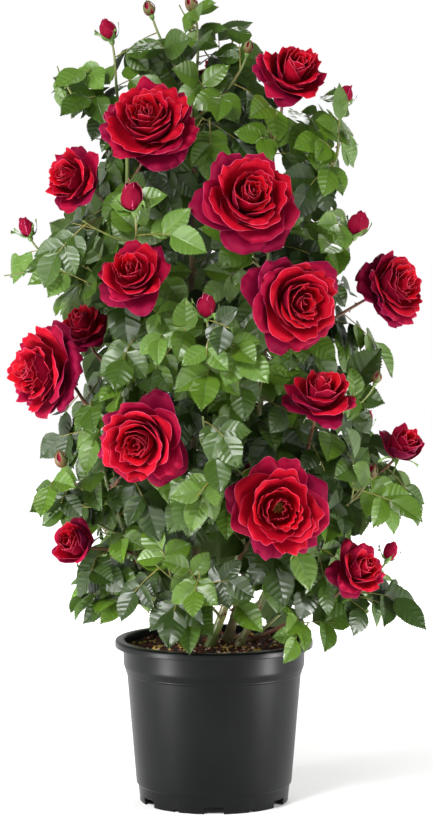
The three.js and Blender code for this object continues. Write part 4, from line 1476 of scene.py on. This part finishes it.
# %% Petals and sepals of the buds
BUD_RADIUS = 0.40  # of a bud's length
CLOSED_BUDS = {"shoot_top_middle_left", "shoot_top_middle", "shoot_top_right", "shoot_left"}
CLOSED_BUDS |= {"shoot_right_lower", "shoot_right"}
CLOSED_SIZE, CLOSED_PETALS = 0.8, 0.86  # a closed bud is smaller, and its sepals wrap its petals
for index, (name, (tip, heading, size)) in enumerate(buds.items()):
    dice = np.random.RandomState(300 + index)
    closed = name in CLOSED_BUDS
    radius = BUD_RADIUS * size * (CLOSED_SIZE if closed else 1.0)
    points, _ = whorl("bud", radius * (CLOSED_PETALS if closed else 1.0), dice, loose=0.5)
    petal_sets["bud"].append(set_facing(points, tip, heading))
    calyx = "closed_calyx" if closed else "bud_calyx"
    points, _ = whorl(calyx, radius, dice, sepal, loose=0.4 if closed else 0.7)
    (closed_sepals if closed else open_sepals).append(set_facing(points, tip, heading))
print("bud petals:", sum(map(len, petal_sets["bud"])))

# %% Joined petals and sepals
PETAL_CREASE = 75  # in degrees
for part, groups in petal_sets.items():
    points = np.concatenate(groups)
    petals = joined_copies(f"petals_{part}", petal["shape"], points, petal_finishes[part])
    shade(petals, PETAL_CREASE)
    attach(petals, "root")
    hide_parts(*(SHOOTS if part == "bud" else ROSES))
    print(f"petals_{part}:", len(petals.data.polygons), "faces")
points = np.concatenate(open_sepals)
sepal_pieces = joined_copies("sepals", sepal["shape"], points, [sepal_green] * 2)
points = np.concatenate(closed_sepals)
closed_pieces = joined_copies("closed_sepals", sepal["shape"], points, [bud_skin] * 2)
for piece in (sepal_pieces, closed_pieces):
    shade(piece, PETAL_CREASE)
    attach(piece, "root")
    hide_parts(*ROSES, *buds)
print("sepals:", sum(map(len, open_sepals)), "closed:", sum(map(len, closed_sepals)))

# %% Hips
HIP_PROFILE = [(0, 0), (0.5, 0), (0.85, 0.25), (1, 0.6), (0.9, 0.9), (0.95, 1.05), (0, 1.0)]
HIP_FACETS = 10
HIP_HEIGHT = 2.3  # of its radius
HIP_BELOW = 0.9  # the share of its height that lies below the bloom
hip = shape_of(turned(HIP_PROFILE, HIP_FACETS))
places = [(tip, faces, 3.6 + 0.03 * width) for tip, faces, width, _ in blooms.values()]
places += [(tip, heading, 0.4 + 0.115 * size) for tip, heading, size in buds.values()]
hips = []
for tip, faces, radius in places:
    local = hip[0] * (radius, radius, radius * HIP_HEIGHT)
    hips.append(set_facing(local, tip - faces * radius * HIP_HEIGHT * HIP_BELOW, faces))
hip_pieces = joined_copies("hips", hip, np.array(hips), [sepal_green])
shade(hip_pieces, SMALL_CREASE)
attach(hip_pieces, "root")
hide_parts(*ROSES, *buds)
print("hips:", len(hips))

# %% Stamens of the open bloom
STAMENS = 36
FILAMENT = 9
DISC_RADIUS, DISC_HEIGHT = 6, 6.0
bm = bmesh.new()
filament = bmesh.ops.create_cone(
    bm, cap_ends=True, segments=4, radius1=0.3, radius2=0.2, depth=FILAMENT
)["verts"]
bmesh.ops.translate(bm, verts=filament, vec=(0, 0, FILAMENT / 2))
anther = bmesh.ops.create_icosphere(bm, subdivisions=1, radius=0.9)["verts"]
for vertex in anther:
    vertex.co = (vertex.co.x, vertex.co.y, 1.6 * vertex.co.z + FILAMENT + 0.5)
stamen = shape_of(bm)
dice = np.random.RandomState(51)  # for the stamens and then the prickles
stamens = []
for tip, faces, _, kind in blooms.values():
    if kind != "open":
        continue
    for i in range(STAMENS):
        out, bearing = DISC_RADIUS * math.sqrt((i + 0.5) / STAMENS), math.radians(i * GOLDEN_ANGLE)
        foot = np.array([out * math.cos(bearing), out * math.sin(bearing), DISC_HEIGHT])
        lean = unit(foot * (0.055, 0.055, 0) + (0, 0, 1) + dice.uniform(-0.1, 0.1, 3))
        standing = set_facing(stamen[0] * dice.uniform(0.8, 1.15), foot, lean)
        stamens.append(set_facing(standing, tip, faces))
stamen_pieces = joined_copies("stamens", stamen, np.array(stamens), [pollen])
shade(stamen_pieces, SMALL_CREASE)
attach(stamen_pieces, "root")
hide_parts("rose_lower_right")
print("stamens:", len(stamens))

# %% Prickles
# A prickle is a flat hook of height one, bent down its stem.
bm = bmesh.new()
bmesh.ops.create_cone(bm, cap_ends=True, segments=6, radius1=0.5, radius2=0.04, depth=1)
for vertex in bm.verts:
    height = vertex.co.z + 0.5
    vertex.co = (vertex.co.x * 0.45, vertex.co.y * 1.1 - 0.45 * height**2, height)
prickle = shape_of(bm)
PRICKLE_TURN = 2.4  # radians from one to the next
# Each limb's path, its radius along it, how far apart its prickles are, their size, and the
# share of the path that carries them
limbs = [
    (path, lambda t, name=name: cane_radius(name, t), 17, 6.0, used)
    for name, (path, _, used, _) in canes.items()
]
limbs += [(stems[name][0], lambda t: 2.3, 26, 3.6, 0.85) for name in (*ROSES, *SHOOTS)]
prickles = []
for path, radius_at, apart, size, used in limbs:
    for i in range(int(path.length * used / apart)):
        t = min((i + 0.5 + dice.uniform(-0.3, 0.3)) * apart / path.length, used)
        tangent = path.tangent(t)
        turn = i * PRICKLE_TURN + dice.uniform()
        around = turned_about(squared(FIRST_SIDE, tangent), tangent, turn)
        axes = np.stack([np.cross(tangent, around), tangent, around])
        scaled = prickle[0] * size * dice.uniform(0.6, 1.15)
        prickles.append(scaled @ axes + path.at(t) + around * (radius_at(t) * 0.9))
prickle_pieces = joined_copies("prickles", prickle, np.array(prickles), [prickle_cork])
shade(prickle_pieces, SMALL_CREASE)
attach(prickle_pieces, "root")
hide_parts(*CANES)
print("prickles:", len(prickles))

# %% [markdown]
# ## Finish
#
# The dressed plant's box is printed.

# %% Finish
low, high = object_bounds()
print("visual box:", tuple(low), tuple(high))
